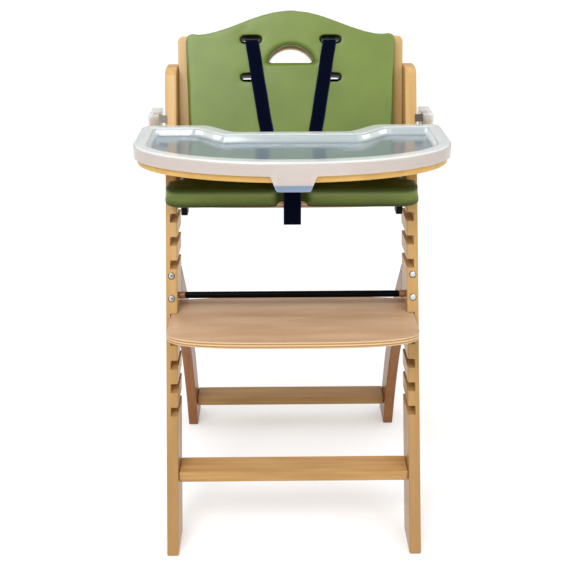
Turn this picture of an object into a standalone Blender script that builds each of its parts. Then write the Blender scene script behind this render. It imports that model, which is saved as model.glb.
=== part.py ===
"""A wooden baby high chair: leaning grooved legs, curved rear legs, a seat and a footrest that
slide in the grooves, a padded back, a harness, and a tray with a lift-off clear cover.

Metres, +Z up, the chair faces -Y. Depths are measured back from the front feet and shifted by
ORIGIN_DEPTH, so that the origin lies under the middle of the chair.
"""
import math

import bmesh
import bpy
from mathutils import Matrix, Vector

# Driving dimensions
LEGS_WIDTH = 0.450          # outer face to outer face
BOARD = 0.0205              # thickness of the leg boards
FLOOR_DEPTH = 0.516         # front of the front feet to back of the rear feet
LEG_TOP = 0.791
LEG_LEAN = 0.4512           # metres back for each metre up
LEG_DEPTH = 0.0755          # of a leg, measured level
GAP = 0.0004                # between touching pieces

TOE_ROUND = 0.0009          # what the rounded toes take off the floor depth, more than the heels
ORIGIN_DEPTH = (FLOOR_DEPTH + TOE_ROUND) / 2
OUTER = LEGS_WIDTH / 2
INNER = OUTER - BOARD
SIDES = {"left": -1, "right": 1}

# Grooves: blind dados in the inner faces, the seat and footrest slide in two of them
GROOVE_HEIGHT = 0.0146
GROOVE_DEEP = 0.013
SEAT_GROOVE = 0.5855
FOOTREST_GROOVE = 0.3850
GROOVE_PITCH = 0.038
UPPER_GROOVES = [SEAT_GROOVE - GROOVE_PITCH * step for step in range(4)]
LOWER_GROOVES = [FOOTREST_GROOVE - GROOVE_PITCH * step for step in range(5)]

# Plates
PLATE = 0.0128
PLATE_HALF = INNER + GROOVE_DEEP - 0.0015
FOOTREST_FRONT, FOOTREST_BACK = 0.0620, 0.2545
FOOTREST_BOW = 0.052
SEAT_FRONT, SEAT_BACK = 0.2035, 0.405
SEAT_FRONT_HALF = 0.2100     # the seat plate is narrower in front of the legs, where its cushion wraps it
SEAT_STEP = 0.2612
SEAT_LIP = 0.5820

# Joint of the main and rear legs: two socket bolts that fall a little to the back, into barrel nuts
LEG_BOLT_HEIGHTS = {"upper": 0.4533, "lower": 0.4163}
LEG_BOLT_FALL = math.radians(15)
BARREL_REACH = 0.078        # bolt entry to barrel nut, along the bolt
REAR_JOINT = (0.364, 0.444)

# Rails
STRETCHERS = {"front": ((0.064, 0.1150), (0.1130, 0.1325)), "rear": ((0.444, 0.491), (0.0462, 0.0664))}
CROSSBAR_AT = (0.209, 0.4145)
CROSSBAR_RADIUS = 0.006
COLLAR_LENGTH = 0.0115
SPIGOT_RADIUS = 0.003
SPIGOT_LENGTH = 0.005       # in a blind hole that stops short of the leg bolts

# Back panel: a leaning plane, up-slope distances are from this point of its front face
BACK_FOOT = (0.355, 0.698)
BACK_LEAN = math.radians(19.3)
BACK_BOARD = 0.012
BACK_CUSHION = 0.026
BACK_HALF = INNER - GAP
BACK_SHOULDER = 0.1515
BACK_BOTTOM = -0.078
HAND_HOLE = (0.0420, 0.1000, 0.0285)     # half width, bottom, rise
SLOT_X = 0.0712
SLOT_SIZE = (0.0340, 0.0085)
SLOT_ROWS = {"upper": 0.1400, "lower": 0.0735}
BACK_BOLTS = {"upper": 0.078, "lower": -0.030}

# Tray
TRAY_HALF = 0.2640
TRAY_CENTRE, TRAY_BOW = 0.190, 0.133   # of the front half ellipse
TRAY_REAR = 0.3125
TRAY_SCOOP = 0.051
RIM_TOP = 0.700
TRAY_BOARD = (0.6656, 0.6836)
TRAY_BOARD_INSET = 0.0055
TRAY_BOARD_REAR = 0.298
APRON_BOTTOM = 0.6775
TAB_BOTTOM, TAB_HALF, TAB_SHOULDER = 0.6530, 0.0250, 0.0130
COVER_SKIN = 0.0022
ARM = (0.2390, 0.2535)
ARM_END = 0.392
ARM_TOP = 0.706
LATCH_AT = (0.3200, 0.6870)
LATCH_TRAVEL = 0.004
CATCH_HEIGHTS = (0.7030, 0.7150)

WOOD = (0.74, 0.55, 0.34, 1.0)
MATERIALS = {
    "beech": (WOOD, 0.45, 0.0),
    "plywood": ((0.62, 0.44, 0.28, 1.0), 0.45, 0.0),
    "green_leather": ((0.20, 0.26, 0.05, 1.0), 0.42, 0.0),
    "webbing": ((0.006, 0.008, 0.02, 1.0), 0.85, 0.0),
    "black_metal": ((0.01, 0.01, 0.012, 1.0), 0.35, 0.6),
    "black_plastic": ((0.012, 0.012, 0.014, 1.0), 0.4, 0.0),
    "steel": ((0.66, 0.66, 0.68, 1.0), 0.22, 1.0),
    "brown_plastic": ((0.16, 0.08, 0.035, 1.0), 0.45, 0.0),
    "clear_plastic": ((0.78, 0.80, 0.82, 0.6), 0.3, 0.0),
    "red_plastic": ((0.45, 0.03, 0.02, 1.0), 0.4, 0.0),
}


def material(name):
    """The named Principled material, made once."""
    if name not in bpy.data.materials:
        colour, roughness, metallic = MATERIALS[name]
        made = bpy.data.materials.new(name)
        made.use_nodes = True
        shader = made.node_tree.nodes["Principled BSDF"]
        shader.inputs["Base Color"].default_value = colour
        shader.inputs["Alpha"].default_value = colour[3]
        shader.inputs["Roughness"].default_value = roughness
        shader.inputs["Metallic"].default_value = metallic
    return bpy.data.materials[name]


def add_object(name, vertices, faces, finish, cutter=False):
    """An object from vertices (x, depth, height) and faces, its normals turned outwards."""
    mesh = bpy.data.meshes.new(name)
    work = bmesh.new()
    made = [work.verts.new((x, depth - ORIGIN_DEPTH, z)) for x, depth, z in vertices]
    for face in faces:
        work.faces.new([made[index] for index in face])
    bmesh.ops.recalc_face_normals(work, faces=work.faces)
    work.to_mesh(mesh)
    work.free()
    obj = bpy.data.objects.new(name, mesh)
    bpy.context.scene.collection.objects.link(obj)
    obj.data.materials.append(material(finish))
    if cutter:
        obj.hide_render = True
        obj.display_type = "WIRE"
    return obj


def ring_faces(count, rings, closed=False):
    """Quads between rings of count points each; closed joins the last ring to the first."""
    faces = []
    for ring in range(rings if closed else rings - 1):
        low = ring * count
        high = (ring + 1) % rings * count
        for step in range(count):
            after = (step + 1) % count
            faces.append((low + step, low + after, high + after, high + step))
    return faces


def lofted(rings):
    """Vertices and faces of one closed body through rings with equal counts, capped at both ends."""
    count = len(rings[0])
    faces = ring_faces(count, len(rings))
    faces.append(tuple(range(count)))
    faces.append(tuple(range((len(rings) - 1) * count, len(rings) * count)))
    return [point for ring in rings for point in ring], faces


def merged(bodies):
    """Several vertex and face lists as one, for a cutter made of separate shapes."""
    vertices, faces = [], []
    for body_vertices, body_faces in bodies:
        start = len(vertices)
        vertices += body_vertices
        faces += [tuple(start + index for index in face) for face in body_faces]
    return vertices, faces


def swept(outline, place, low, high):
    """A prism: a flat outline (a, b) carried from low to high, place(a, b, c) gives each point."""
    return lofted([[place(a, b, c) for a, b in outline] for c in (low, high)])


def side_prism(outline, low, high):
    """A prism along X from an outline of (depth, height)."""
    return swept(outline, lambda depth, z, x: (x, depth, z), low, high)


def level_prism(outline, low, high):
    """A prism along Z from an outline of (x, depth)."""
    return swept(outline, lambda x, depth, z: (x, depth, z), low, high)


def back_point(x, up, out):
    """A point of the leaning back: up its slope, and out from the panel's front face."""
    depth = BACK_FOOT[0] + up * math.sin(BACK_LEAN) - out * math.cos(BACK_LEAN)
    return (x, depth, BACK_FOOT[1] + up * math.cos(BACK_LEAN) + out * math.sin(BACK_LEAN))


def back_prism(outline, low, high):
    """A prism square to the back panel from an outline of (x, up the slope)."""
    return swept(outline, back_point, low, high)


def box(x, depth, z):
    """A box from three (low, high) pairs."""
    corners = [(x[0], depth[0]), (x[1], depth[0]), (x[1], depth[1]), (x[0], depth[1])]
    return level_prism(corners, *z)


def turned(start, direction, profile, sides=20):
    """A turned body: profile of (distance along, radius) from start; radius 6-sided if negative."""
    axis = Vector(direction).normalized()
    across = axis.orthogonal().normalized()
    other = axis.cross(across)
    rings = []
    for along, radius in profile:
        ring = []
        for step in range(sides):
            angle = math.tau * step / sides
            reach = radius
            if radius < 0:
                within = (angle % (math.tau / 6)) - math.tau / 12
                reach = -radius / math.cos(within)
            outwards = across * math.cos(angle) + other * math.sin(angle)
            point = Vector(start) + axis * along + outwards * reach
            ring.append(tuple(point))
        rings.append(ring)
    return lofted(rings)


def rounded(corners, steps=4):
    """An outline whose corners (a, b, radius) are turned into arcs of the given steps."""
    outline = []
    for index, (a, b, radius) in enumerate(corners):
        here = Vector((a, b))
        before = Vector(corners[index - 1][:2]) - here
        after = Vector(corners[(index + 1) % len(corners)][:2]) - here
        if radius <= 0:
            outline.append((a, b))
            continue
        half = before.angle(after) / 2
        centre = here + (before.normalized() + after.normalized()).normalized() * (radius / math.sin(half))
        start = here + before.normalized() * (radius / math.tan(half)) - centre
        sweep = start.angle_signed(here + after.normalized() * (radius / math.tan(half)) - centre)
        for step in range(steps + 1):
            turn = Matrix.Rotation(-sweep * step / steps, 2)
            point = centre + turn @ start
            outline.append((point.x, point.y))
    return outline


def curve_through(points, steps):
    """A smooth curve (Catmull-Rom) through points, with the given steps between each pair."""
    ends = [2 * Vector(points[0]) - Vector(points[1])]
    ends += [Vector(point) for point in points]
    ends.append(2 * Vector(points[-1]) - Vector(points[-2]))
    curve = []
    for index in range(1, len(ends) - 2):
        p0, p1, p2, p3 = ends[index - 1:index + 3]
        for step in range(steps):
            t = step / steps
            point = (2 * p1 + (p2 - p0) * t + (2 * p0 - 5 * p1 + 4 * p2 - p3) * t * t
                     + (3 * p1 - p0 - 3 * p2 + p3) * t ** 3) / 2
            curve.append(tuple(point))
    curve.append(tuple(points[-1]))
    return curve


def bevel(obj, width, segments=2):
    """Round the sharp edges of an object."""
    modifier = obj.modifiers.new("rounded edges", "BEVEL")
    modifier.width = width
    modifier.segments = segments
    modifier.limit_method = "ANGLE"
    modifier.angle_limit = math.radians(40)


def cut(obj, bodies):
    """Cut closed shapes out of an object."""
    tool = add_object(obj.name + "_cutter", *merged(bodies), "steel", cutter=True)
    modifier = obj.modifiers.new("cuts", "BOOLEAN")
    modifier.operation = "DIFFERENCE"
    modifier.use_self = True
    modifier.object = tool


def leg_front(z):
    """Depth of a main leg's front edge at a height."""
    return LEG_LEAN * z


def bolt_line(height):
    """Start and direction of a leg bolt that enters the front edge at a height."""
    return (leg_front(height), height), (math.cos(LEG_BOLT_FALL), -math.sin(LEG_BOLT_FALL))


def along_bolt(height, distance, x):
    """A point at a distance along a leg bolt."""
    start, direction = bolt_line(height)
    return (x, start[0] + direction[0] * distance, start[1] + direction[1] * distance)


def side_x(sign):
    """Middle plane of a leg board."""
    return sign * (INNER + BOARD / 2)


def cross_holes(sign):
    """A main leg's cross holes: the front stretcher's and the back's go through, the crossbar's is blind."""
    places = [stretcher_middle("front")]
    places += [back_point(0, up, -BACK_BOARD / 2)[1:] for up in BACK_BOLTS.values()]
    start = sign * (INNER - 0.002)
    holes = [turned((start, depth, z), (sign, 0, 0), [(0, 0.0034), (BOARD + 0.004, 0.0034)], 12)
             for depth, z in places]
    socket = [(0, 0.0034), (0.002 + SPIGOT_LENGTH + GAP, 0.0034)]
    return holes + [turned((start, *CROSSBAR_AT), (sign, 0, 0), socket, 12)]


def stretcher_middle(row):
    """Depth and height of a stretcher's middle."""
    depth, z = STRETCHERS[row]
    return (sum(depth) / 2, sum(z) / 2)


def build_main_leg(side, sign):
    """A leaning leg board with its grooves and bolt holes."""
    foot_round = 0.003
    corners = [(0, 0, foot_round), (LEG_DEPTH, 0, foot_round),
               (leg_front(LEG_TOP) + LEG_DEPTH, LEG_TOP, 0.018), (leg_front(LEG_TOP), LEG_TOP, 0.022)]
    low, high = sorted((sign * INNER, sign * OUTER))
    leg = add_object(f"{side}_leg", *side_prism(rounded(corners, 8), low, high), "beech")
    bevel(leg, 0.0022)
    span = sorted((sign * (INNER - 0.01), sign * (INNER + GROOVE_DEEP)))
    cuts = []
    for middle in UPPER_GROOVES + LOWER_GROOVES:
        reach = (leg_front(middle) - 0.02, leg_front(middle) + LEG_DEPTH + 0.02)
        cuts.append(box(span, reach, (middle - GROOVE_HEIGHT / 2, middle + GROOVE_HEIGHT / 2)))
    for height in LEG_BOLT_HEIGHTS.values():
        _, direction = bolt_line(height)
        start = along_bolt(height, -0.004, side_x(sign))
        hole = [(0, 0.0065), (0.0075, 0.0065), (0.0075, 0.0034), (0.09, 0.0034)]
        cuts.append(turned(start, (0, *direction), hole, 16))
    cut(leg, cuts + cross_holes(sign))


def rear_leg_outline():
    """Side outline of a rear leg: from its foot up the rear edge, then down the front edge."""
    low, high = REAR_JOINT
    rear_edge = [(FLOOR_DEPTH, 0), (0.489, 0.072), (0.452, 0.183), (0.378, 0.327),
                 (leg_front(high) + LEG_DEPTH + 0.006, high)]
    front_edge = [(leg_front(low) + LEG_DEPTH + GAP, low), (0.318, 0.286), (0.372, 0.215), (0.414, 0.105),
                  (0.4405, 0)]
    top = [(leg_front(high) + LEG_DEPTH + GAP, high - 0.001)]
    return curve_through(rear_edge, 10) + top + curve_through(front_edge, 10)


def build_rear_leg(side, sign):
    """A curved rear leg, bored for its bolts and barrel nuts and for the rear stretcher."""
    low, high = sorted((sign * INNER, sign * OUTER))
    leg = add_object(f"{side}_rear_leg", *side_prism(rear_leg_outline(), low, high), "beech")
    bevel(leg, 0.0022)
    cuts = []
    for height in LEG_BOLT_HEIGHTS.values():
        _, direction = bolt_line(height)
        cuts.append(turned(along_bolt(height, 0.05, side_x(sign)), (0, *direction),
                           [(0, 0.0034), (BARREL_REACH - 0.050, 0.0034)], 16))
        cuts.append(turned(along_bolt(height, BARREL_REACH, sign * (INNER - 0.002)), (sign, 0, 0),
                           [(0, 0.0054), (0.018, 0.0054)], 16))
    depth, z = stretcher_middle("rear")
    thread = [(0, 0.0034), (0.025, 0.0034)]
    cuts.append(turned((sign * (INNER - 0.002), depth, z), (sign, 0, 0), thread, 12))
    cut(leg, cuts)


def build_leg_hardware(side, sign):
    """The socket bolts and barrel nuts that join a main leg to its rear leg."""
    for level, height in LEG_BOLT_HEIGHTS.items():
        _, direction = bolt_line(height)
        start = along_bolt(height, -0.0006, side_x(sign))
        profile = [(0.0026, -0.0026), (0.0002, -0.0028), (0, 0.0048), (0.0012, 0.0058), (0.0036, 0.0058),
                   (0.0036, 0.0030), (BARREL_REACH - 0.0055, 0.0030)]
        add_object(f"{side}_{level}_leg_bolt", *turned(start, (0, *direction), profile, 24), "steel")
        middle = along_bolt(height, BARREL_REACH, sign * (INNER + 0.0004))
        nut = [(0, 0.0044), (0.0006, 0.0050), (0.0144, 0.0050), (0.015, 0.0044)]
        add_object(f"{side}_{level}_barrel_nut", *turned(middle, (sign, 0, 0), nut, 16), "steel")


def cross_bolt(name, sign, depth, z, reach):
    """A domed bolt from a leg's outer face inwards, with a hexagon socket."""
    start = (sign * (OUTER + 0.0032), depth, z)
    profile = [(0.0022, -0.0022), (0.0002, -0.0024), (0, 0.0040), (0.0010, 0.0060), (0.0028, 0.0064),
               (0.0028, 0.0029), (0.0032 + reach, 0.0029)]
    add_object(name, *turned(start, (-sign, 0, 0), profile, 24), "steel")


def build_stretchers():
    """The two rails that tie the legs, each held by a bolt at both ends."""
    half = INNER - GAP
    for row, (depth, z) in STRETCHERS.items():
        rail = add_object(f"{row}_stretcher", *box((-half, half), depth, z), "beech")
        bevel(rail, 0.0022)
        middle = stretcher_middle(row)
        bore = [(0, 0.0033), (0.027, 0.0033)]
        cut(rail, [turned((sign * (half + 0.002), *middle), (-sign, 0, 0), bore, 12)
                   for sign in SIDES.values()])
        for side, sign in SIDES.items():
            cross_bolt(f"{side}_{row}_stretcher_bolt", sign, *middle, BOARD + 0.022)


def build_crossbar():
    """The black steel bar between the legs, its end collars and the bolts that hold it."""
    depth, z = CROSSBAR_AT
    end = INNER - COLLAR_LENGTH - 2 * GAP
    reach = INNER + SPIGOT_LENGTH
    profile = [(0, SPIGOT_RADIUS), (reach - end, SPIGOT_RADIUS), (reach - end, CROSSBAR_RADIUS),
               (reach + end, CROSSBAR_RADIUS), (reach + end, SPIGOT_RADIUS), (2 * reach, SPIGOT_RADIUS)]
    add_object("crossbar", *turned((-reach, depth, z), (1, 0, 0), profile, 24), "black_metal")
    for side, sign in SIDES.items():
        ring = [(0, 0.0063), (COLLAR_LENGTH, 0.0063)]
        start = (sign * (end + GAP), depth, z)
        body = turned(start, (sign, 0, 0), ring, 24)
        collar = add_object(f"{side}_crossbar_collar", *body, "brown_plastic")
        bore = (sign * (end - 0.002), depth, z)
        cut(collar, [turned(bore, (sign, 0, 0), [(0, 0.0034), (COLLAR_LENGTH + 0.006, 0.0034)], 16)])


def crest(x, shoulder, rise, half):
    """Height of the back's top edge: a shoulder with a raised cosine over its middle."""
    if abs(x) >= half:
        return shoulder
    return shoulder + rise * (1 + math.cos(math.pi * x / half)) / 2


def back_outline(half, bottom_half, shoulder, rise, bottom, corner, steps=28):
    """Outline of the panel or its cushion: straight sides, round corners and a crested top."""
    outline = []
    turns = 5
    for step in range(turns + 1):
        angle = math.pi / 2 * step / turns
        outline.append((half - corner + corner * math.cos(angle),
                        shoulder - corner + corner * math.sin(angle)))
    span = half - corner
    for step in range(1, steps):
        x = span - 2 * span * step / steps
        outline.append((x, crest(x, shoulder, rise, span)))
    outline += [(-x, up) for x, up in outline[turns::-1]]
    outline += [(-bottom_half, bottom + 0.012), (-bottom_half + 0.012, bottom),
                (bottom_half - 0.012, bottom), (bottom_half, bottom + 0.012)]
    return outline


def hand_hole_outline():
    """The hand hole: a flat bottom under a round arc, with small round corners where they meet."""
    half, bottom, rise = HAND_HOLE
    radius = (half * half + rise * rise) / (2 * rise)
    reach = math.asin(half / radius) * 0.94
    arc = [(radius * math.sin(reach * step / 8), bottom + rise - radius + radius * math.cos(reach * step / 8))
           for step in range(-8, 9)]
    return arc + [(half - 0.001, bottom + 0.0012), (half - 0.004, bottom),
                  (-half + 0.004, bottom), (-half + 0.001, bottom + 0.0012)]


def slot_outline(sign, up, grow):
    """A harness slot: straight sides and half-round ends."""
    across, tall = (size / 2 + grow for size in SLOT_SIZE)
    outline = []
    for end in (1, -1):
        for step in range(7):
            angle = math.pi * (step / 6 - 0.5)
            outline.append((sign * SLOT_X + end * (across - tall + tall * math.cos(angle)),
                            up + end * tall * math.sin(angle)))
    return outline


def back_cuts(low, high):
    """Cutters for the hand hole and the four harness slots."""
    bodies = [back_prism(hand_hole_outline(), low, high)]
    for up in SLOT_ROWS.values():
        for sign in SIDES.values():
            bodies.append(back_prism(slot_outline(sign, up, 0.0015), low, high))
    return bodies


def build_back():
    """The leaning plywood back, its cushion, the slot grommets and the bolts into its edges."""
    outline = back_outline(BACK_HALF, BACK_HALF, BACK_SHOULDER, 0.036, BACK_BOTTOM, 0.010)
    panel = add_object("back_panel", *back_prism(outline, -BACK_BOARD, 0), "plywood")
    bevel(panel, 0.0016, 1)
    cuts = back_cuts(-BACK_BOARD - 0.01, 0.01)
    for up in BACK_BOLTS.values():
        for sign in SIDES.values():
            x, depth, z = back_point(sign * (BACK_HALF + 0.002), up, -BACK_BOARD / 2)
            cuts.append(turned((x, depth, z), (-sign, 0, 0), [(0, 0.0033), (0.027, 0.0033)], 12))
    cut(panel, cuts)
    outline = back_outline(0.1890, 0.1840, 0.1500, 0.0420, -0.072, 0.012)
    cushion = add_object("back_cushion", *back_prism(outline, GAP, GAP + BACK_CUSHION), "green_leather")
    bevel(cushion, 0.006)
    cut(cushion, back_cuts(-0.01, BACK_CUSHION + 0.01))
    for side, sign in SIDES.items():
        for level, up in BACK_BOLTS.items():
            _, depth, z = back_point(0, up, -BACK_BOARD / 2)
            cross_bolt(f"{side}_{level}_back_bolt", sign, depth, z, BOARD + 0.022)
        for row, up in SLOT_ROWS.items():
            build_grommet(f"{side}_{row}_slot_liner", sign, up)


def build_grommet(name, sign, up):
    """A black liner that lines a harness slot through the panel and the cushion."""
    low, high = -BACK_BOARD, BACK_CUSHION + 0.0015
    outside, inside = slot_outline(sign, up, 0.0012), slot_outline(sign, up, -0.0002)
    rings = [[back_point(x, v, out) for x, v in outline]
             for out, outline in ((low, outside), (high, outside), (high, inside), (low, inside))]
    vertices = [point for ring in rings for point in ring]
    add_object(name, vertices, ring_faces(len(outside), 4, closed=True), "black_plastic")


def build_strap(name, path, width, thickness=0.0018):
    """Flat webbing along a path of (x, depth, height); its width stays level, along X."""
    points = [Vector(point) for point in path]
    rings = []
    for index, point in enumerate(points):
        before = points[max(index - 1, 0)]
        after = points[min(index + 1, len(points) - 1)]
        run = (after - before).normalized()
        across = Vector((1, 0, 0))
        across = (across - run * run.dot(across)).normalized() * (width / 2)
        lift = across.cross(run).normalized() * (thickness / 2)
        rings.append([tuple(point + across + lift), tuple(point - across + lift),
                      tuple(point - across - lift), tuple(point + across - lift)])
    add_object(name, *lofted(rings), "webbing")


BUCKLE_AT = (0.240, 0.6400)
BUCKLE_TILT = math.radians(50)          # of its face's normal above level
BUCKLE_HALF = (0.0250, 0.0175, 0.0065)  # across, up its face, thickness
BUTTON_RADIUS = 0.0075
BUTTON_TRAVEL = 0.0025


def buckle_point(x, up, out):
    """A point of the tilted buckle: up its face and out of it."""
    depth = BUCKLE_AT[0] + up * math.sin(BUCKLE_TILT) - out * math.cos(BUCKLE_TILT)
    return (x, depth, BUCKLE_AT[1] + up * math.cos(BUCKLE_TILT) + out * math.sin(BUCKLE_TILT))


def build_harness():
    """Shoulder and waist straps, the crotch strap, the buckle and its release button."""
    for side, sign in SIDES.items():
        face = BACK_CUSHION + 0.0032
        up = SLOT_ROWS["upper"]
        shoulder = [back_point(sign * 0.0695, up - 0.0005, -BACK_BOARD + 0.004),
                    back_point(sign * 0.0695, up - 0.0005, face - 0.004),
                    back_point(sign * 0.0694, up - 0.002, face)]
        shoulder += [back_point(sign * x, v, face)
                     for x, v in ((0.060, 0.075), (0.048, 0.000), (0.044, -0.020))]
        shoulder += [(sign * 0.040, 0.283, 0.664), buckle_point(sign * 0.0385, 0.0185, 0.001)]
        build_strap(f"{side}_shoulder_strap", shoulder, 0.0240)
        waist = [back_point(sign * 0.130, -0.052, face), back_point(sign * 0.115, -0.050, face + 0.010),
                 (sign * 0.075, 0.268, 0.642), buckle_point(sign * 0.0300, -0.0070, 0.000)]
        build_waist_strap(f"{side}_waist_strap", waist)
    crotch = [buckle_point(0, -0.0185, -0.001), (0, 0.216, 0.6300), (0, 0.203, 0.6235), (0, 0.1955, 0.6160),
              (0, 0.1930, 0.6050), (0, 0.1922, 0.5900), (0, 0.1922, 0.5530)]
    build_strap("crotch_strap", crotch, 0.0300)
    across, tall, thick = BUCKLE_HALF
    corners = [(a * across, b * tall, 0.006) for a, b in ((-1, -1), (1, -1), (1, 1), (-1, 1))]
    body = swept(rounded(corners, 4), buckle_point, -thick, thick)
    buckle = add_object("buckle", *body, "black_plastic")
    bevel(buckle, 0.0018)
    normal = (0, -math.cos(BUCKLE_TILT), math.sin(BUCKLE_TILT))
    bore = BUTTON_RADIUS + 0.0005
    cut(buckle, [turned(buckle_point(0, 0, -0.001), normal, [(0, bore), (0.02, bore)])])
    cap = [(0, BUTTON_RADIUS), (0.0062, BUTTON_RADIUS), (0.0070, BUTTON_RADIUS - 0.001)]
    add_object("buckle_button", *turned(buckle_point(0, 0, 0.0020), normal, cap), "red_plastic")


def build_waist_strap(name, path):
    """Flat webbing on edge along a path: its width stands up the back's slope."""
    upright = Vector((0, math.sin(BACK_LEAN), math.cos(BACK_LEAN)))
    points = [Vector(point) for point in path]
    rings = []
    for index, point in enumerate(points):
        run = (points[min(index + 1, len(points) - 1)] - points[max(index - 1, 0)]).normalized()
        tall = (upright - run * run.dot(upright)).normalized() * 0.0110
        lift = tall.cross(run).normalized() * 0.0009
        rings.append([tuple(point + tall + lift), tuple(point - tall + lift),
                      tuple(point - tall - lift), tuple(point + tall - lift)])
    add_object(name, *lofted(rings), "webbing")


def plate_outline(front_half, front, back, bow, back_inset, step_at=None):
    """Plan of a plate: a bowed front with full round corners and a slightly bowed back. A plate whose
    front is narrower than the grooves steps out to their width at step_at."""
    outline = []
    for step in range(33):
        angle = math.pi * step / 32
        x = math.copysign(abs(math.cos(angle)) ** 0.62, math.cos(angle)) * front_half
        outline.append((x, front + bow - bow * math.sin(angle) ** 0.62))
    half, corner = PLATE_HALF, 0.016
    rear = back - back_inset
    left = [(-half, rear - corner), (-half + 0.3 * corner, rear - 0.3 * corner), (-half + corner, rear)]
    if step_at:
        left = [(-front_half, step_at - 0.003), (-half, step_at + 0.003)] + left
    left += [(x, rear + back_inset * (1 - (x / (half - corner)) ** 2)) for x in (-0.14, -0.07)]
    return outline + left + [(0, back)] + [(-x, depth) for x, depth in left[::-1]]


def build_footrest():
    """The plywood footrest."""
    level = FOOTREST_GROOVE - PLATE / 2
    outline = plate_outline(PLATE_HALF, FOOTREST_FRONT, FOOTREST_BACK, FOOTREST_BOW, 0.0125)
    plate = add_object("footrest_plate", *level_prism(outline, level, level + PLATE), "plywood")
    bevel(plate, 0.0018, 1)


def build_seat():
    """The seat plate and its cushion, which wraps the plate's front and narrows between the legs."""
    level = SEAT_GROOVE - PLATE / 2
    outline = plate_outline(SEAT_FRONT_HALF, SEAT_FRONT, SEAT_BACK, 0.040, 0.004, SEAT_STEP)
    plate = add_object("seat_plate", *level_prism(outline, level, level + PLATE), "plywood")
    bevel(plate, 0.0018, 1)
    wide, narrow = 0.2210, 0.1975
    front, lip_back, back = 0.1940, 0.2560, 0.388
    notch, notch_back = 0.0240, 0.2010
    half = [(notch, notch_back, 0.003), (notch + 0.002, front, 0.003), (wide, front, 0.030),
            (wide, lip_back, 0.018), (narrow, lip_back + 0.006, 0.004), (narrow, back, 0.020)]
    corners = half + [(-x, depth, radius) for x, depth, radius in half[::-1]]
    top = level + PLATE + GAP + 0.0265
    cushion = add_object("seat_cushion", *level_prism(rounded(corners), SEAT_LIP, top), "green_leather")
    bevel(cushion, 0.008, 3)
    pocket = plate_outline(SEAT_FRONT_HALF + 0.0006, SEAT_FRONT - 0.0006, SEAT_BACK + 0.02, 0.040, 0.004)
    cut(cushion, [level_prism(pocket, SEAT_LIP - 0.02, level + PLATE + GAP)])


LOCK_DROP = 0.024
LOCK_TRAVEL = 0.006


def build_locks():
    """Black squeeze locks under the seat and the footrest, each with a pin towards its leg."""
    places = {"seat": (0.250, SEAT_GROOVE), "footrest": (0.190, FOOTREST_GROOVE)}
    inner, outer = 0.1845, 0.1955
    for plate, (depth, groove) in places.items():
        top = groove - PLATE / 2 - GAP
        corners = [(depth - 0.015, top, 0), (depth + 0.015, top, 0),
                   (depth + 0.013, top - LOCK_DROP, 0.004), (depth - 0.013, top - LOCK_DROP, 0.004)]
        for side, sign in SIDES.items():
            low, high = sorted((sign * inner, sign * outer))
            body = side_prism(rounded(corners, 3), low, high)
            lock = add_object(f"{side}_{plate}_lock", *body, "black_plastic")
            bevel(lock, 0.0010, 1)
            pin = turned((sign * (outer - 0.003), depth, top - 0.010), (sign, 0, 0),
                         [(0, 0.0030), (0.0100, 0.0030), (0.0112, 0.0020)], 16)
            tool = add_object(f"{lock.name}_pin_guide", *pin, "steel", cutter=True)
            modifier = lock.modifiers.new("pin", "BOOLEAN")
            modifier.operation = "UNION"
            modifier.object = tool


FRONT_ANGLES = list(range(0, 78, 6)) + list(range(78, 102)) + list(range(102, 181, 6))


def tray_outline(inset, rear):
    """Plan of the tray: a half ellipse in front, straight sides and a back scooped for the child."""
    half = TRAY_HALF - inset
    corner = max(0.018 - inset * 0.6, 0.004)
    outline = []
    for degrees in FRONT_ANGLES:
        angle = math.radians(degrees)
        outline.append((half * math.cos(angle), TRAY_CENTRE - (TRAY_BOW - inset) * math.sin(angle)))
    left = []
    for step in range(5):
        angle = math.pi / 2 * step / 4
        left.append((-half + corner - corner * math.cos(angle), rear - corner + corner * math.sin(angle)))
    edge, run = 0.158 + 0.8 * inset, 0.068
    for step in range(9):
        fall = (1 - math.cos(math.pi * step / 8)) / 2
        left.append((-edge + run * step / 8, rear - TRAY_SCOOP * fall))
    left.append((-0.030, rear - TRAY_SCOOP))
    return outline + left + [(-x, depth) for x, depth in left[::-1]]


def build_tray_board():
    """The wooden tray board and the two arms that reach back beside the legs."""
    outline = tray_outline(TRAY_BOARD_INSET, TRAY_BOARD_REAR)
    board = add_object("tray_board", *level_prism(outline, *TRAY_BOARD), "beech")
    bevel(board, 0.0030)
    low, top = TRAY_BOARD[0], TRAY_BOARD[1] + GAP
    hook = TRAY_BOARD_REAR + 0.0012
    corners = [(0.205, top, 0), (hook, top, 0), (hook, low, 0), (ARM_END, low, 0.012),
               (ARM_END, ARM_TOP, 0.006), (0.3318, ARM_TOP, 0), (0.3318, 0.6890, 0), (0.3278, 0.6890, 0),
               (0.3278, 0.6940, 0), (0.205, 0.6940, 0)]
    for side, sign in SIDES.items():
        x = sorted(sign * edge for edge in ARM)
        arm = add_object(f"{side}_tray_arm", *side_prism(rounded(corners), *x), "beech")
        hole = turned((sign * (ARM[0] - 0.002), *LATCH_AT), (sign, 0, 0),
                      [(0, 0.0027), (0.0120, 0.0027)], 12)
        cut(arm, [hole])
        build_arm_cap(side, sign)
        build_catch(side, sign)


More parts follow.
